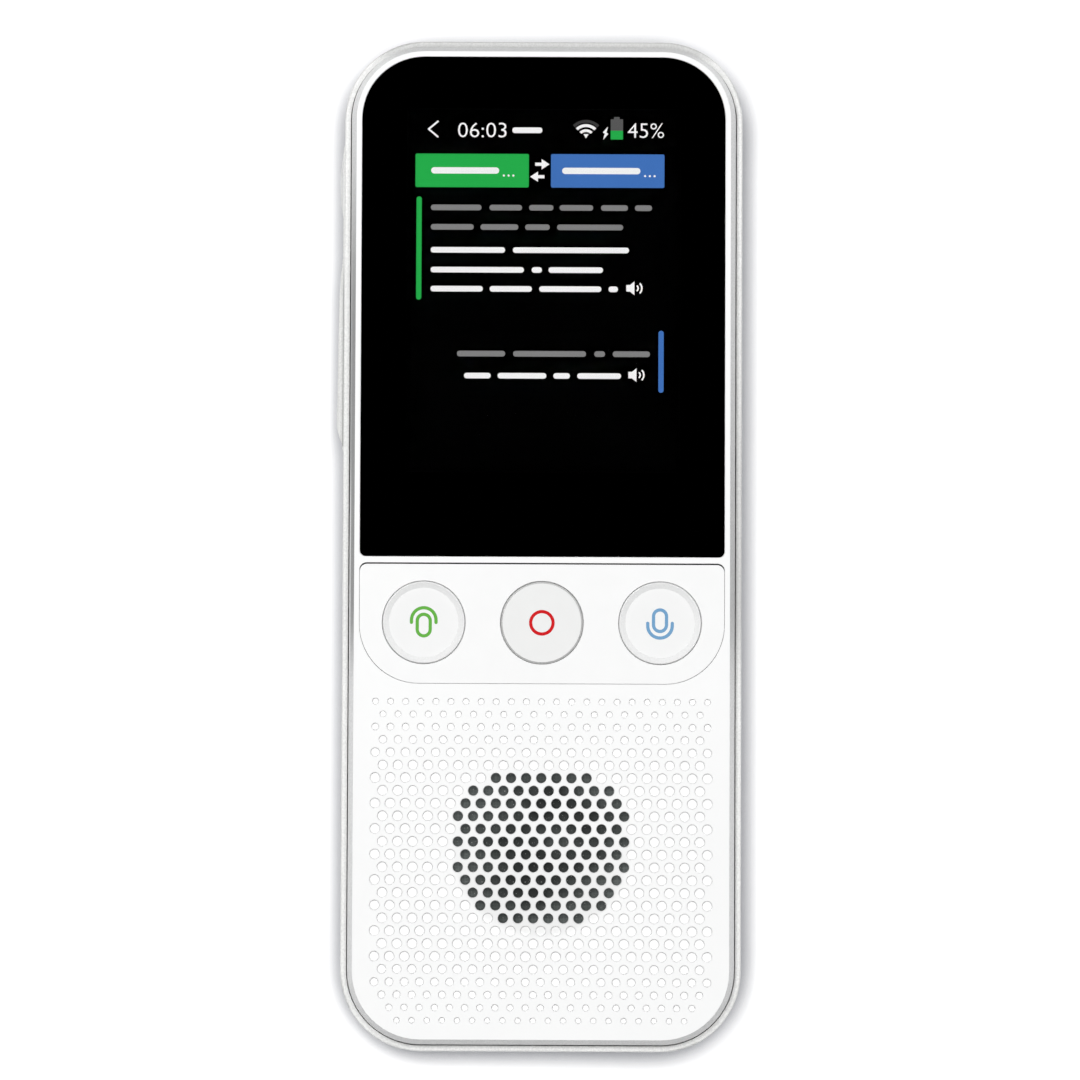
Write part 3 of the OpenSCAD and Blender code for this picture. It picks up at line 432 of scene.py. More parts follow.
# %% Moulded plastic
def moulded(name, colour, roughness, grain=0.0012, cloud=0.015, edge=0.05, steep_shade=1.0,
            left_shade=0.0, right_shade=0.0, has_holes=False):
    """White gloss plastic. Faces steeper than about 35 degrees get a sandy grain and painted shade,
    scaled by the steep factor.
    """
    f = Finish(name, {"IOR": 1.5, "Specular IOR Level": 0.5})
    at = f.place()
    clouds = f.noise(at, 0.07, 3)
    grains = f.noise(at, 9.0, 3)
    patches = f.noise(at, 0.5, 4)
    sand = f.range(f.noise(at, 4.5, 2), 0.3, 0.7, 0.92, 1.04)
    facing = f.node("ShaderNodeTexCoord", output=1)
    headward, upward = f.split(facing, 1, 2)
    # Painted shade: faces that look towards the foot are darker, down to 0.82.
    foot_facing_shade = f.range(headward, -0.5, 0.5, 0.82, 1)
    level = f.mix(clouds, shade(colour, 1 - cloud), shade(colour, 1 + cloud))
    if has_holes:
        level = f.mix(hole_field_grey(f, at), level, HOLE_FIELD_GREY)
    # Painted shade on steep faces: the steep factor, the sides, the top end, the foot-facing walls
    # and the seam; the sand is real grain.
    sand_and_shade = sand * foot_facing_shade * steep_shade * painted_side_shade(f, at, left_shade, right_shade) * painted_seam_shade(f, at, 1)
    side = f.mix(sand_and_shade, (0, 0, 0, 1), colour + (1,))
    rounded_edge = f.node("ShaderNodeBevel", {"Radius": edge * MM}, samples=4)
    f.set({
        "Base Color": f.mix(f.range(upward, 0.75, 0.97), side, level),
        "Roughness": f.range(patches, 0.3, 0.7, roughness - 0.01, roughness + 0.02),
        "Normal": f.bump(grains, grain, rounded_edge),
    })
    return f.material


COVER_WHITE = (0.93, 0.93, 0.925)
front_white = moulded("front_white", COVER_WHITE, 0.34, steep_shade=0.95,
                      left_shade=0.66, right_shade=0.34, has_holes=True)
panel_white = moulded("panel_white", COVER_WHITE, 0.30)
key_white = moulded("key_white", (0.95, 0.95, 0.945), 0.18, grain=0.0006, steep_shade=0.9)
key_grey_white = moulded("key_grey_white", (0.885, 0.885, 0.875), 0.22, grain=0.0006,
                         steep_shade=0.75)
print("plastics:", [m.name for m in (front_white, panel_white, key_white, key_grey_white)])

# %% [markdown]
# ## Pearl plastic of the rear cover
#
# The rear cover is a shade greyer and warmer than the front, with a fine pearl in the
# resin. Pearl is tiny mica flakes, so a pattern of cells a fourteenth of a millimetre wide
# shifts the normal and the tone, and a thin coat stands for the polished skin. Close to the
# seam, painted shade greys its right side and its top end and darkens the seam's inner
# walls, and a painted shadow darkens the line where the flap parts from the cover.

# %% Pearl plastic
REAR_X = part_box("rear_cover")[1].x / MM
FLAP_LINE = -REAR_X - 0.2
FLAP_FOOT, FLAP_HEAD = (corner.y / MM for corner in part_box("card_flap"))
print("flap from", round(FLAP_FOOT, 1), "to", round(FLAP_HEAD, 1), "mm along the side")


def painted_flap_shadow(f, at):
    """Mask of the painted shadow in the line between flap and cover, which fades towards the hinge.
    """
    across, along = f.split(at, 0, 1)
    outer = f.range(across, FLAP_LINE - 0.1, FLAP_LINE)
    inner = f.range(across, FLAP_LINE + 0.1, FLAP_LINE + 0.2, 1, 0)
    foot = f.range(along, FLAP_FOOT - 0.5, FLAP_FOOT)
    head = f.range(along, FLAP_HEAD - 6, FLAP_HEAD, 1, 0)
    return outer * inner * foot * head


def pearl(name, colour):
    """Pearl plastic: sand and flakes shift its tone, and some flakes are metallic."""
    f = Finish(name, {"IOR": 1.5, "Coat Weight": 0.25, "Coat Roughness": 0.12})
    at = f.place()
    clouds = f.noise(at, 0.06, 3)
    sand = f.range(f.noise(at, 4.5, 2), 0.3, 0.7)
    flakes = f.node("ShaderNodeTexVoronoi", {"Vector": at, "Scale": 14.0}, "Color")
    flake_tone = f.node("ShaderNodeSeparateColor", {0: flakes}, 0)
    rounded_edge = f.node("ShaderNodeBevel", {"Radius": 0.06 * MM}, samples=4)
    tone = clouds * 0.2 + sand * 0.55 + flake_tone * 0.25
    unshaded = f.mix(tone, shade(colour, 0.86), shade(colour, 1.1))
    height, = f.split(at, 2)
    near_seam = f.range(height, SEAM_FOOT - 1, SEAM_FOOT + 1, 0, 1)
    # Painted shade close to the seam: the right side and the top end.
    rim_shade = 1 - (1 - painted_side_shade(f, at, 0.0, 0.28)) * near_seam
    # Painted shade on the seam's inner walls and a painted shadow in the flap's parting line.
    pearl_shade = rim_shade * painted_seam_shade(f, at, -1) * (1 - painted_flap_shadow(f, at) * 0.5)
    f.set({
        "Base Color": f.mix(pearl_shade, (0, 0, 0, 1), unshaded),
        "Metallic": f.range(flake_tone, 0.9, 1.0, 0.0, 0.25),
        "Roughness": f.range(clouds, 0.3, 0.7, 0.34, 0.42),
        "Normal": f.bump(flake_tone, 0.0008, rounded_edge),
    })
    return f.material


rear_pearl = pearl("rear_pearl", (0.83, 0.83, 0.815))
print("pearl:", rear_pearl.name)

# %% [markdown]
# ## Glass, mask and display
#
# The front pane is clear glass. What looks black is a printed mask on its back and the
# unlit display under it. Painting the pane black would be quicker, but then the picture on
# the display could not lie a millimetre deep under the glass as it does here.

# %% Clear glass
def clear_glass():
    """Glass that a cloth has left with faint slanting smears."""
    f = Finish("clear_glass", {
        "Base Color": (1, 1, 1, 1),
        "Transmission Weight": 1.0,
        "IOR": 1.5,
    })
    at = f.place()
    wiped = f.node("ShaderNodeMapping", {
        "Vector": at, "Rotation": (0, 0, 0.5), "Scale": (0.02, 0.35, 1)})
    smears = f.noise(wiped, 1.0, 4)
    f.set({"Roughness": f.range(smears, 0.55, 0.8, 0.0, 0.02)})
    return f.material


glass = clear_glass()
print("pane:", glass.name)

# %% Printed mask and polariser
def printed_mask():
    """Matt black ink on the back of the pane."""
    f = Finish("printed_mask", {"IOR": 1.45})
    at = f.place()
    ink = f.noise(at, 6.0, 3)
    f.set({
        "Base Color": f.mix(ink, (0.004, 0.004, 0.004, 1), (0.007, 0.007, 0.007, 1)),
        "Roughness": f.range(ink, 0.3, 0.7, 0.55, 0.7),
        "Normal": f.bump(ink, 0.001),
    })
    return f.material


def polariser_film():
    """Smooth film on the display, blacker than the ink as long as no dot is lit."""
    f = Finish("polariser_film", {"IOR": 1.5, "Specular IOR Level": 0.1})
    at = f.place()
    haze = f.noise(at, 3.0, 2)
    f.set({
        "Base Color": f.mix(haze, (0.0002, 0.0002, 0.0003, 1), (0.0005, 0.0005, 0.0006, 1)),
        "Roughness": f.range(haze, 0.3, 0.7, 0.03, 0.05),
    })
    return f.material


mask = printed_mask()
polariser = polariser_film()
print("behind the pane:", [mask.name, polariser.name])

# %% [markdown]
# ## Metal, rubber, foam and the rest of the inside
#
# Hardly anything inside shows while the housing is shut, yet the inner pieces have finishes
# too, because the part is also looked at piece by piece. Stamped steel has fine rolling lines
# along one direction, plated contacts are smooth, foam is full of cells, and a circuit board
# shows copper tracks under its green lacquer.

# %% Sheet metals
def sheet_metal(name, colour, roughness, grain=(0.3, 14.0, 0.3)):
    """Rolled sheet: noise stretched along one axis makes its lines."""
    f = Finish(name, {"Metallic": 1.0})
    at = f.place()
    stretched = f.node("ShaderNodeMapping", {"Vector": at, "Scale": grain})
    lines = f.noise(stretched, 1.0, 4)
    stains = f.noise(at, 0.3, 3)
    f.set({
        "Base Color": f.mix(stains, shade(colour, 0.93), shade(colour, 1.04)),
        "Roughness": f.range(lines, 0.25, 0.75, roughness - 0.06, roughness + 0.1),
        "Normal": f.bump(lines, 0.002),
    })
    return f.material


steel = sheet_metal("stamped_steel", (0.66, 0.67, 0.69), 0.34)
screw_zinc = sheet_metal("screw_zinc", (0.42, 0.43, 0.45), 0.38, (4, 4, 4))
plated_brass = sheet_metal("plated_brass", (0.86, 0.63, 0.26), 0.24, (3, 3, 3))
magnet_nickel = sheet_metal("magnet_nickel", (0.55, 0.56, 0.57), 0.22, (5, 5, 0.6))
pouch_foil = sheet_metal("pouch_foil", (0.78, 0.79, 0.81), 0.42, (2.5, 2.5, 2.5))
metals = (steel, screw_zinc, plated_brass, magnet_nickel, pouch_foil)
print("metals:", [m.name for m in metals])

# %% Windings of the voice coil
def windings(name):
    """Enamelled copper wire wound side by side: rings of equal height up the former."""
    f = Finish(name, {"Metallic": 1.0, "Coat Weight": 0.5, "Coat Roughness": 0.2})
    at = f.place()
    turns = f.node("ShaderNodeTexWave", {"Vector": at, "Scale": 2.2, "Distortion": 0.1},
                   "Fac", bands_direction="Z")
    f.set({
        "Base Color": f.mix(turns, (0.30, 0.11, 0.04, 1), (0.78, 0.36, 0.17, 1)),
        "Roughness": f.range(turns, 0.0, 1.0, 0.45, 0.25),
        "Normal": f.bump(turns, 0.02),
    })
    return f.material


copper_turns = windings("copper_turns")
print("coil:", copper_turns.name)

# %% Plastics and rubbers of the inside
def cast_plastic(name, colour, roughness, lump=5.0, depth=0.003):
    """Plain engineering plastic or rubber with a fine uneven skin."""
    f = Finish(name, {"IOR": 1.5})
    at = f.place()
    skin = f.noise(at, lump, 4)
    f.set({
        "Base Color": f.mix(skin, shade(colour, 0.85), shade(colour, 1.15)),
        "Roughness": f.range(skin, 0.3, 0.7, roughness - 0.06, roughness + 0.08),
        "Normal": f.bump(skin, depth),
    })
    return f.material


dark_resin = cast_plastic("dark_resin", (0.05, 0.05, 0.054), 0.5)
pale_nylon = cast_plastic("pale_nylon", (0.80, 0.77, 0.68), 0.45)
boot_rubber = cast_plastic("boot_rubber", (0.02, 0.02, 0.02), 0.75, 8.0, 0.006)
cone_film = cast_plastic("cone_film", (0.035, 0.035, 0.04), 0.38, 1.5, 0.002)
chip_ceramic = cast_plastic("chip_ceramic", (0.50, 0.40, 0.28), 0.5, 3.0, 0.002)
wire_sheath = cast_plastic("wire_sheath", (0.5, 0.03, 0.03), 0.5)
amber_film = cast_plastic("amber_film", (0.62, 0.30, 0.05), 0.3, 2.0, 0.001)
cast = (dark_resin, pale_nylon, boot_rubber, cone_film, chip_ceramic, wire_sheath, amber_film)
print("plastics of the inside:", [m.name for m in cast])

# %% Foam
def foam(name, colour):
    """Closed-cell foam: each cell is a pit with a thin bright wall."""
    f = Finish(name, {"IOR": 1.4})
    at = f.place()
    cells = f.node("ShaderNodeTexVoronoi", {"Vector": at, "Scale": 5.0}, "Distance")
    f.set({
        "Base Color": f.mix(cells, shade(colour, 0.6), shade(colour, 1.3)),
        "Roughness": 0.9,
        "Normal": f.bump(cells, 0.04),
    })
    return f.material


black_foam = foam("black_foam", (0.03, 0.03, 0.03))
print("foam:", black_foam.name)

# %% Circuit board lacquer
def board_lacquer():
    """Green lacquer over copper tracks, which run in straight and slanting groups."""
    f = Finish("board_lacquer", {"IOR": 1.5, "Coat Weight": 0.6, "Coat Roughness": 0.15})
    at = f.place()
    blocks = f.node("ShaderNodeTexVoronoi", {"Vector": at, "Scale": 0.16}, "Color")
    pick = f.node("ShaderNodeSeparateColor", {0: blocks}, 0)
    along, across = (
        f.node("ShaderNodeTexWave", {"Vector": at, "Scale": 0.45}, "Fac", bands_direction=axis)
        for axis in "XY")
    side = f.range(pick, 0.49, 0.51)
    track = f.range(along * side + across * (1 - side), 0.62, 0.7)
    f.set({
        "Base Color": f.mix(track, (0.012, 0.10, 0.045, 1), (0.03, 0.20, 0.09, 1)),
        "Roughness": 0.35,
        "Normal": f.bump(track, 0.02),
    })
    return f.material


lacquer = board_lacquer()
print("board:", lacquer.name)

# %% [markdown]
# ## The dust mesh
#
# Behind the open holes lies a black woven mesh that keeps dust off the cone. Its threads
# are thinner than a hair, so they are a pattern and not geometry: two sets of waves, one
# over the other. The weave is lighter towards its edge and in broad patches, and a few
# grains of dust sit on it.

# %% Woven dust mesh
def dust_mesh():
    """Two sets of threads, lighter towards the edge and in broad patches, with dust grains."""
    f = Finish("dust_mesh", {"IOR": 1.45, "Sheen Weight": 0.2})
    at = f.place()
    warp, weft = (
        f.node("ShaderNodeTexWave", {"Vector": at, "Scale": 1.6, "Distortion": 0.3},
               "Fac", bands_direction=axis)
        for axis in "XY")
    threads = f.node("ShaderNodeMath", {0: warp, 1: weft}, operation="MAXIMUM")
    off_centre = f.distance(at, (MESH_LOW + MESH_HIGH) / 2)
    ring = f.range(off_centre, 0.55 * MESH_RADIUS, 0.95 * MESH_RADIUS, 0.0, 0.45)
    broad = f.range(f.noise(at, 0.12, 2), 0.35, 0.65, 0.05, 0.6)
    dust = f.range(f.noise(at, 5.0, 1), 0.70, 0.74)
    weave = f.mix(threads * (broad + ring), (0.018, 0.021, 0.020, 1), (0.17, 0.19, 0.185, 1))
    f.set({
        "Base Color": f.mix(dust, weave, (0.45, 0.45, 0.44, 1)),
        "Roughness": 0.8,
        "Normal": f.bump(threads, 0.03),
    })
    return f.material


mesh_weave = dust_mesh()
print("mesh:", mesh_weave.name)

# %% [markdown]
# ## Coloured signs
#
# The signs in the key tops are moulded first and the key is shot around them, so they lie
# flush and never wear off. Their skin is that of the keys, a little glossier.

# %% Sign colours
SIGN_SKIN = {"roughness": 0.13, "grain": 0.0005, "cloud": 0.04, "edge": 0.02}
green_sign = moulded("green_sign", (0.145, 0.47, 0.07), **SIGN_SKIN)
red_sign = moulded("red_sign", (0.68, 0.012, 0.016), **SIGN_SKIN)
blue_sign = moulded("blue_sign", (0.19, 0.39, 0.63), **SIGN_SKIN)
print("signs:", [m.name for m in (green_sign, red_sign, blue_sign)])

# %% [markdown]
# ## What the display shows
#
# A colour display of this size has 240 by 320 dots. Its layout is a back arrow, the time,
# radio and battery signs, a green and a blue button with swap arrows between them, and two
# spoken sentences with a coloured bar and a loudspeaker sign each. A picture file could be
# laid on the panel, but shapes stay sharp at any distance, so everything lit is a thin solid
# on the panel's face. Words are left as rounded bars; only the digits are real.
#
# Places below are counted in dots from the lit area's upper left corner, as the screen's own
# programmer counts them.

# %% Count in display dots
DOTS_WIDE = 240
DOTS_HIGH = 320
DOT = 0.153 * MM
LIT_DEPTH = 0.02 * MM
lcd_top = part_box("lcd_panel")[1].z
gasket_low, gasket_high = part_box("lcd_gasket")
screen_centre = (gasket_low + gasket_high) / 2


def at_dot(column, row):
    """The place of a dot on the panel's face."""
    return Vector((
        screen_centre.x + (column - DOTS_WIDE / 2) * DOT,
        screen_centre.y - (row - DOTS_HIGH / 2) * DOT,
        lcd_top,
    ))


print("lit area", round(DOTS_WIDE * DOT / MM, 2), "x", round(DOTS_HIGH * DOT / MM, 2), "mm")

# %% [markdown]
# ## Lit colours
#
# A lit dot gives light and reflects next to none, so its colour goes into the emission at
# strength 1 and the base stays black. A backlight is a little uneven, a few hundredths
# across the panel, and that unevenness is kept.

# %% Lit colour
def lit(name, colour):
    """Colour of lit dots, a few hundredths uneven."""
    f = Finish(name, {
        "Base Color": (0, 0, 0, 1), "Specular IOR Level": 0.0, "Emission Strength": 1.0})
    at = f.place()
    backlight = f.noise(at, 0.12, 2)
    f.set({"Emission Color": f.mix(backlight, shade(colour, 0.94), shade(colour, 1.06))})
    return f.material


lit_white = lit("lit_white", (0.94, 0.94, 0.94))
lit_grey = lit("lit_grey", (0.23, 0.23, 0.23))
lit_dim = lit("lit_dim", (0.10, 0.10, 0.10))
lit_darkest = lit("lit_darkest", (0.045, 0.045, 0.045))
lit_green = lit("lit_green", (0.021, 0.43, 0.075))
lit_blue = lit("lit_blue", (0.057, 0.175, 0.51))
lit_colours = (lit_white, lit_grey, lit_dim, lit_darkest, lit_green, lit_blue)
print("lit colours:", [m.name for m in lit_colours])

# %% [markdown]
# ## Shapes in display dots
#
# Every shape starts as a flat primitive at its size and place, is shaped in edit mode and is
# then extruded by the depth of the lit layer. The outlines could be typed in point by point,
# but bevels for round corners and planes that cut a ring into waves say better what is meant.

# %% Model a flat shape
def apply_place(piece, scale=(1, 1, 1)):
    """Scales a piece and puts its place, turn and size into its mesh."""
    piece.scale = scale
    bpy.ops.object.transform_apply(location=True, rotation=True, scale=True)


def model(obj, steps):
    """Runs edit-mode steps on an object with everything of it selected."""
    bpy.context.view_layer.objects.active = obj
    bpy.ops.object.mode_set(mode="EDIT")
    bpy.ops.mesh.select_all(action="SELECT")
    steps()
    bpy.ops.object.mode_set(mode="OBJECT")
    return obj


def raise_shape():
    """Gives the selected flat shape the depth of the lit layer and turns its faces outwards."""
    bpy.ops.mesh.extrude_region_move(TRANSFORM_OT_translate={"value": (0, 0, LIT_DEPTH)})
    bpy.ops.mesh.select_all(action="SELECT")
    bpy.ops.mesh.normals_make_consistent(inside=False)


def plate(left, top, right, bottom, corner=0.0):
    """Rectangle between two dots, with round corners of that radius."""
    def round_and_raise():
        if corner:
            bpy.ops.mesh.bevel(offset=corner * DOT, segments=5, affect="VERTICES")
        raise_shape()

    bpy.ops.object.select_all(action="DESELECT")
    middle = at_dot((left + right) / 2, (top + bottom) / 2)
    bpy.ops.mesh.primitive_plane_add(size=1, location=middle)
    piece = bpy.context.object
    apply_place(piece, ((right - left) * DOT, (bottom - top) * DOT, 1))
    return model(piece, round_and_raise)


def stroke(column, row, length, width, angle):
    """Bar of that length and width round a dot, turned by an angle."""
    bpy.ops.object.select_all(action="DESELECT")
    bpy.ops.mesh.primitive_plane_add(
        size=1, location=at_dot(column, row), rotation=(0, 0, math.radians(angle)))
    piece = bpy.context.object
    apply_place(piece, (length * DOT, width * DOT, 1))
    return model(piece, raise_shape)


# %% Triangles, discs and waves
def triangle(column, row, radius, angle, squeeze=1.0):
    """Triangle round a dot that points along an angle, squeezed across it."""
    bpy.ops.object.select_all(action="DESELECT")
    bpy.ops.mesh.primitive_circle_add(
        vertices=3, radius=radius * DOT, fill_type="NGON",
        location=at_dot(column, row), rotation=(0, 0, math.radians(angle - 90)))
    piece = bpy.context.object
    apply_place(piece, (squeeze, 1, 1))
    return model(piece, raise_shape)


def disc(column, row, radius):
    bpy.ops.object.select_all(action="DESELECT")
    bpy.ops.mesh.primitive_circle_add(
        vertices=24, radius=radius * DOT, fill_type="NGON", location=at_dot(column, row))
    piece = bpy.context.object
    apply_place(piece)
    return model(piece, raise_shape)


def arc(column, row, radius, width, facing):
    """Quarter of a ring round a dot, open towards an angle: a ring cut by two planes."""
    middle = at_dot(column, row)
    inner = (radius - width) / radius

    def cut_ring():
        bpy.ops.mesh.extrude_edges_move()
        bpy.ops.transform.resize(value=(inner, inner, 1), center_override=middle)
        for side in (-45, 45):
            normal = math.radians(facing + side)
            bpy.ops.mesh.select_all(action="SELECT")
            bpy.ops.mesh.bisect(plane_co=middle, plane_no=(math.cos(normal), math.sin(normal), 0),
                                clear_inner=True)
        bpy.ops.mesh.select_all(action="SELECT")
        raise_shape()

    bpy.ops.object.select_all(action="DESELECT")
    bpy.ops.mesh.primitive_circle_add(
        vertices=48, radius=radius * DOT, fill_type="NOTHING", location=middle)
    piece = bpy.context.object
    apply_place(piece)
    return model(piece, cut_ring)


# %% Digits
STROKE_THINNING = -0.008


def digits(body, left, top, right, bottom):
    """Digits stretched to fill the box between two dots."""
    bpy.ops.object.select_all(action="DESELECT")
    bpy.ops.object.text_add(location=(0, 0, 0))
    piece = bpy.context.object
    piece.data.body = body
    piece.data.extrude = 0.5
    piece.data.offset = STROKE_THINNING
    piece.data.resolution_u = 3
    bpy.ops.object.convert(target="MESH")
    low = Vector([min(v.co[i] for v in piece.data.vertices) for i in range(3)])
    high = Vector([max(v.co[i] for v in piece.data.vertices) for i in range(3)])
    wanted = at_dot(right, top) - at_dot(left, bottom)
    wanted.z = LIT_DEPTH
    scale = Vector([wanted[i] / (high[i] - low[i]) for i in range(3)])
    piece.location = at_dot(left, bottom) - low * scale
    apply_place(piece, scale)
    return piece


# %% Join shapes into a piece
def gather(name, finish, shapes):
    """Joins shapes into one named piece that rides on the housing."""
    bpy.ops.object.select_all(action="DESELECT")
    for shape in shapes:
        shape.select_set(True)
    bpy.context.view_layer.objects.active = shapes[0]
    if len(shapes) > 1:
        bpy.ops.object.join()
    piece = bpy.context.object
    piece.name = name
    piece.data.materials.clear()
    piece.data.materials.append(finish)
    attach(piece, "housing")
    print(name, len(piece.data.polygons), "faces")
    return piece


def show(name, finish, shapes):
    """Joins shapes into one named piece of the display."""
    return gather(name, finish, shapes)


# %% [markdown]
# ## The status line
#
# The arrow, time, radio fan, charging bolt and battery are built from the shapes above, one
# piece for each sign and colour. The radio fan's outer wave is dim because the signal is not
# full, and the battery is green up to its charge.

# %% Build the status line
STATUS_TOP = 10.4
STATUS_BOTTOM = 23.6
FAN_COLUMN = 157.3
FAN_ROW = 24.2
CELL_LEFT = 179.1
CELL_RIGHT = 190.0
CHARGE_ROW = 17.2

show("back_arrow", lit_white, [
    stroke(22.1, 12.9, 11.6, 1.5, 40),
    stroke(22.1, 19.8, 11.6, 1.5, -40),
])
show("clock_digits", lit_white, [digits("06:03", 43.9, STATUS_TOP, 86.9, STATUS_BOTTOM)])
show("day_half_bar", lit_white, [plate(92, 14.6, 118.6, 19.6, 2.4)])
show("radio_waves", lit_white, [
    arc(FAN_COLUMN, FAN_ROW, 12.8, 2.6, 90),
    arc(FAN_COLUMN, FAN_ROW, 8.2, 2.4, 90),
    triangle(FAN_COLUMN, FAN_ROW - 2.6, 2.6, 270),
])
show("radio_outer_wave", lit_darkest, [arc(FAN_COLUMN, FAN_ROW, 16.6, 2.6, 90)])
show("charging_bolt", lit_white, [
    triangle(174.6, 17.6, 4.6, 62, 0.42),
    triangle(174.6, 21.2, 4.6, 242, 0.42),
])
show("battery_sign_empty", lit_dim, [
    plate(182, 5.0, 187, 7.3, 0.6),
    plate(CELL_LEFT, 7.0, CELL_RIGHT, CHARGE_ROW),
])
show("battery_sign_charge", lit_green, [plate(CELL_LEFT, CHARGE_ROW, CELL_RIGHT, 25.0, 0.5)])
show("charge_digits", lit_white, [digits("45%", 194.2, STATUS_TOP, 226.4, STATUS_BOTTOM)])

# %% [markdown]
# ## The two language buttons
#
# Each button is a plate with softly rounded corners. A second plate on it stands for the
# language's name, and three dots show that the name runs on.

# %% Build the buttons
BUTTON_TOP = 38.2
BUTTON_BOTTOM = 68.0
BUTTON_CORNER = 1.4
BUTTON_ROW = (BUTTON_TOP + BUTTON_BOTTOM) / 2
NAME_HALF = 2.8
POINT_RADIUS = 0.95
POINT_STEP = 4.2
POINT_DROP = 4.4
ROUNDING = 0.95


def raised(piece):
    """Lifts a shape by one lit layer, so that it lies on the plate below it."""
    piece.location.z = LIT_DEPTH
    bpy.ops.object.select_all(action="DESELECT")
    piece.select_set(True)
    bpy.context.view_layer.objects.active = piece
    apply_place(piece)
    return piece


def bar(left, right, row, half):
    """Rounded bar that stands for a word, from column to column along a row."""
    return plate(left, row - half, right, row + half, half * ROUNDING)


def button(name, finish, left, right, name_left, name_right):
    """Plate in the button's colour, with a bar for the name and three points after it."""
    show(name, finish, [plate(left, BUTTON_TOP, right, BUTTON_BOTTOM, BUTTON_CORNER)])
    label = [bar(name_left, name_right, BUTTON_ROW, NAME_HALF)]
    for i in range(1, 4):
        label.append(disc(name_right + POINT_STEP * i, BUTTON_ROW + POINT_DROP, POINT_RADIUS))
    show(name + "_label", lit_white, [raised(shape) for shape in label])


button("green_button", lit_green, 6.5, 106.8, 20.4, 80.5)
button("blue_button", lit_blue, 126.4, 226.8, 136.3, 205.5)
show("swap_arrows", lit_white, [
    plate(112.4, 45.9, 119.4, 48.7),
    triangle(120.4, 47.3, 4.6, 0, 1.15),
    plate(113.6, 57.0, 120.6, 59.8),
    triangle(112.6, 58.4, 4.6, 180, 1.15),
])

# %% [markdown]
# ## The spoken sentences
#
# A sentence is rows of bars, one for each word, as wide as the word would be. What was said
# is grey and its translation is white. A bar in the speaker's colour runs beside them, and a
# loudspeaker sign follows the words that are spoken aloud.

# %% Build the sentences
WORD_HALF = 2.5


def words(name, finish, lines):
    """Rounded bars on rows: each line is its row and the first and last column of each word."""
    bars = [bar(left, right, row, WORD_HALF) for row, spans in lines for left, right in spans]
    return show(name, finish, bars)


def cone(left, right, row, throat, mouth):
    """Plate whose right side is drawn open from the throat's half height to the mouth's."""
    piece = plate(left, row - throat, right, row + throat)
    middle = at_dot((left + right) / 2, row)

    def open_mouth():
        bpy.ops.mesh.select_all(action="DESELECT")
        mesh = bmesh.from_edit_mesh(piece.data)
        for vert in mesh.verts:
            vert.select_set(vert.co.x > middle.x)
        bmesh.update_edit_mesh(piece.data)
        bpy.ops.transform.resize(value=(1, mouth / throat, 1), center_override=middle)

    return model(piece, open_mouth)


def loudspeaker(name, column, row):
    """Small box, a cone that opens to the right, and two sound waves."""
    return show(name, lit_white, [
        plate(column - 7.4, row - 2.9, column - 3.9, row + 2.9, 0.4),
        cone(column - 4.2, column - 0.2, row, 2.9, 6.1),
        arc(column, row, 3.7, 1.3, 0),
        arc(column, row, 7.0, 1.4, 0),
    ])


words("first_words_said", lit_grey, [
    (86.0, [(20.3, 65.0), (72.1, 100.9), (107.2, 128.6), (134.2, 163.8), (170.8, 194.6),
            (200.8, 215.9)]),
    (103.3, [(20.3, 58.2), (64.2, 97.7), (103.7, 125.5), (132.0, 190.4)]),
])
words("first_words_translated", lit_white, [
    (123.7, [(20.3, 86.0), (93.0, 195.7)]),
    (141.3, [(20.3, 102.8), (109.7, 118.7), (124.6, 172.7)]),
    (158.2, [(20.3, 66.5), (72.6, 109.9), (116.4, 171.3), (177.7, 186.0)]),
])
show("first_speaker_bar", lit_green, [plate(7.6, 76.4, 12.2, 168.0, 2.2)])
loudspeaker("first_loudspeaker", 200.8, 157.2)
words("second_words_said", lit_grey, [
    (215.7, [(44.0, 86.5), (93.6, 158.0), (165.3, 174.8), (181.6, 214.5)]),
])
words("second_words_translated", lit_white, [
    (235.2, [(50.3, 73.8), (80.0, 123.0), (129.2, 143.8), (150.3, 189.0)]),
])
show("second_speaker_bar", lit_blue, [plate(222.0, 194.8, 226.6, 249.8, 2.2)])
loudspeaker("second_loudspeaker", 202.85, 234.2)

# %% [markdown]
# ## Contacts in the sockets
#
# A USB-C tongue carries twelve gilt contacts on each face, half a millimetre apart. One is
# modelled as a bar with eased edges and copied along both faces. The card sockets have leaf
# springs that press on a card: a strip of spring metal bent down and back up, which is drawn
# edge by edge as the strip would be bent, and then given its thickness.

# %% Contacts of the USB socket
CONTACTS = 12
CONTACT_PITCH = 0.5 * MM
CONTACT_SIZE = Vector((0.26, 3.8, 0.06)) * MM
CONTACT_START = 0.45 * MM
CONTACT_EASE = 0.02 * MM
tongue_low, tongue_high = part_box("usb_tongue")


def usb_contacts():
    """One eased bar and its copies along both faces of the tongue."""
    def ease_edges():
        bpy.ops.mesh.bevel(offset=CONTACT_EASE, segments=2, affect="EDGES")

    bpy.ops.object.select_all(action="DESELECT")
    bpy.ops.mesh.primitive_cube_add(size=1, location=(0, 0, 0))
    first = bpy.context.object
    apply_place(first, CONTACT_SIZE)
    model(first, ease_edges)
    contacts = [first]
    for _ in range(CONTACTS * 2 - 1):
        contact = first.copy()
        contact.data = first.data.copy()
        scene.collection.objects.link(contact)
        contacts.append(contact)
    middle_y = tongue_low.y + CONTACT_START + CONTACT_SIZE.y / 2
    for i, contact in enumerate(contacts):
        column = i % CONTACTS - (CONTACTS - 1) / 2
        face = tongue_high.z if i < CONTACTS else tongue_low.z
        middle = Vector((column * CONTACT_PITCH, middle_y, face))
        contact.data.transform(Matrix.Translation(middle))
    return contacts


gather("usb_contacts", plated_brass, usb_contacts())

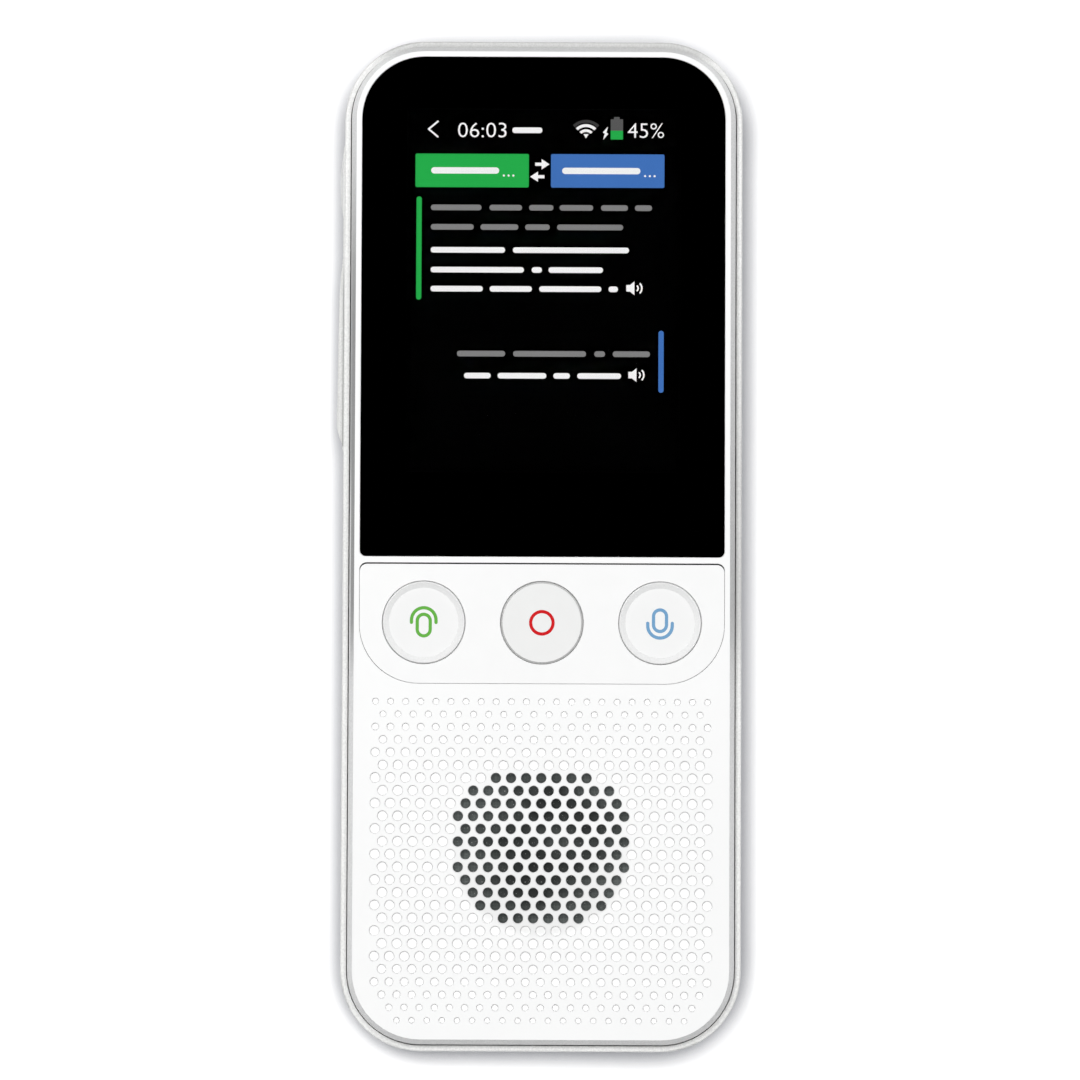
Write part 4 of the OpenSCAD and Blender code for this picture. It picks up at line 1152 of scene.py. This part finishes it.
# %% Leaf springs of the card sockets
SPRING_WIDTH = 0.7 * MM
SPRING_RUN = 1.5 * MM
SPRING_DROP = 0.3 * MM
SPRING_METAL = 0.08 * MM
SPRING_FOOT = 0.4 * MM
SPRING_BENDS = ((0.6, -1.0), (0.15, 0.0), (0.35, 0.8))
SPRING_START = 4.5 * MM
SLOT_ROOF = 0.3 * MM


def leaf_spring(x, y, top):
    """Strip fixed at x that dips by SPRING_DROP and rises again.

    A bend is a share of the run and a share of the drop.
    """
    def bend_strip():
        mesh = bmesh.from_edit_mesh(bpy.context.object.data)
        for edge in mesh.edges:
            edge.select_set(all(vert.co.x > x + SPRING_FOOT / 4 for vert in edge.verts))
        bmesh.update_edit_mesh(bpy.context.object.data)
        for run, drop in SPRING_BENDS:
            bpy.ops.mesh.extrude_edges_move(
                TRANSFORM_OT_translate={"value": (run * SPRING_RUN, 0, drop * SPRING_DROP)})

    bpy.ops.object.select_all(action="DESELECT")
    bpy.ops.mesh.primitive_plane_add(size=1, location=(x + SPRING_FOOT / 2, y, top))
    strip = bpy.context.object
    apply_place(strip, (SPRING_FOOT, SPRING_WIDTH, 1))
    bpy.ops.object.mode_set(mode="EDIT")
    bpy.ops.mesh.select_mode(type="EDGE")
    bpy.ops.object.mode_set(mode="OBJECT")
    model(strip, bend_strip)
    metal = strip.modifiers.new("metal", "SOLIDIFY")
    metal.thickness = SPRING_METAL
    metal.offset = -1
    bpy.ops.object.modifier_apply(modifier=metal.name)
    return strip


def socket_springs(node, columns, rows, pitch_x, pitch_y):
    """Columns and rows of springs under a socket's roof, pitches in metres."""
    low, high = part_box(node)
    middle = (low + high) / 2
    return [leaf_spring(low.x + SPRING_START + column * pitch_x,
                        middle.y + (row - (rows - 1) / 2) * pitch_y,
                        high.z - SLOT_ROOF)
            for column in range(columns)
            for row in range(rows)]


gather("sim_springs", plated_brass,
       socket_springs("sim_socket", 2, 3, 3.8 * MM, 2.54 * MM))
gather("memory_card_springs", plated_brass,
       socket_springs("memory_card_socket", 1, 8, 0, 1.1 * MM))

# %% [markdown]
# ## Finishes onto the nodes
#
# Each node of the packed model is of one material, so a table from node to finish is all that
# is left to write. The meshes stay as they are, and only their material slots change. The
# line printed last names each node that the table forgets.

# %% Give every node its finish
FINISHES = {
    "front_cover": front_white,
    "key_panel": panel_white,
    "rear_cover": rear_pearl,
    "left_key": key_white,
    "right_key": key_white,
    "centre_key": key_grey_white,
    "power_key": panel_white,
    "card_flap": rear_pearl,
    "left_glyph": green_sign,
    "centre_glyph": red_sign,
    "right_glyph": blue_sign,
    "cover_glass": glass,
    "glass_tape": mask,
    "panel_tape": mask,
    "lcd_gasket": black_foam,
    "lcd_panel": polariser,
    "backlight_tray": steel,
    "lcd_flex": amber_film,
    "lcd_connector": pale_nylon,
    "key_switches": dark_resin,
    "key_domes": steel,
    "left_plunger": dark_resin,
    "centre_plunger": dark_resin,
    "right_plunger": dark_resin,
    "power_plunger": dark_resin,
    "power_switch": dark_resin,
    "flap_pin": steel,
    "sim_socket": steel,
    "memory_card_socket": steel,
    "main_board": lacquer,
    "shield_can": steel,
    "processor": dark_resin,
    "memory_chip": dark_resin,
    "chip_parts": chip_ceramic,
    "amplifier": dark_resin,
    "antenna": pale_nylon,
    "battery": pouch_foil,
    "battery_tape": black_foam,
    "battery_wires": wire_sheath,
    "battery_connector": pale_nylon,
    "speaker_basket": dark_resin,
    "speaker_magnet": magnet_nickel,
    "speaker_coil": copper_turns,
    "speaker_cone": cone_film,
    "speaker_gasket": black_foam,
    "speaker_contacts": plated_brass,
    "grille_mesh": mesh_weave,
    "usb_shell": steel,
    "usb_tongue": dark_resin,
    "microphones": plated_brass,
    "microphone_boots": boot_rubber,
    "thread_inserts": plated_brass,
    "case_screws": screw_zinc,
}
bare = sorted(set(nodes) - set(FINISHES))
for name, finish in FINISHES.items():
    for place in nodes[name].material_slots:
        place.material = finish
print(len(FINISHES), "nodes finished, left bare:", bare)

# %% [markdown]
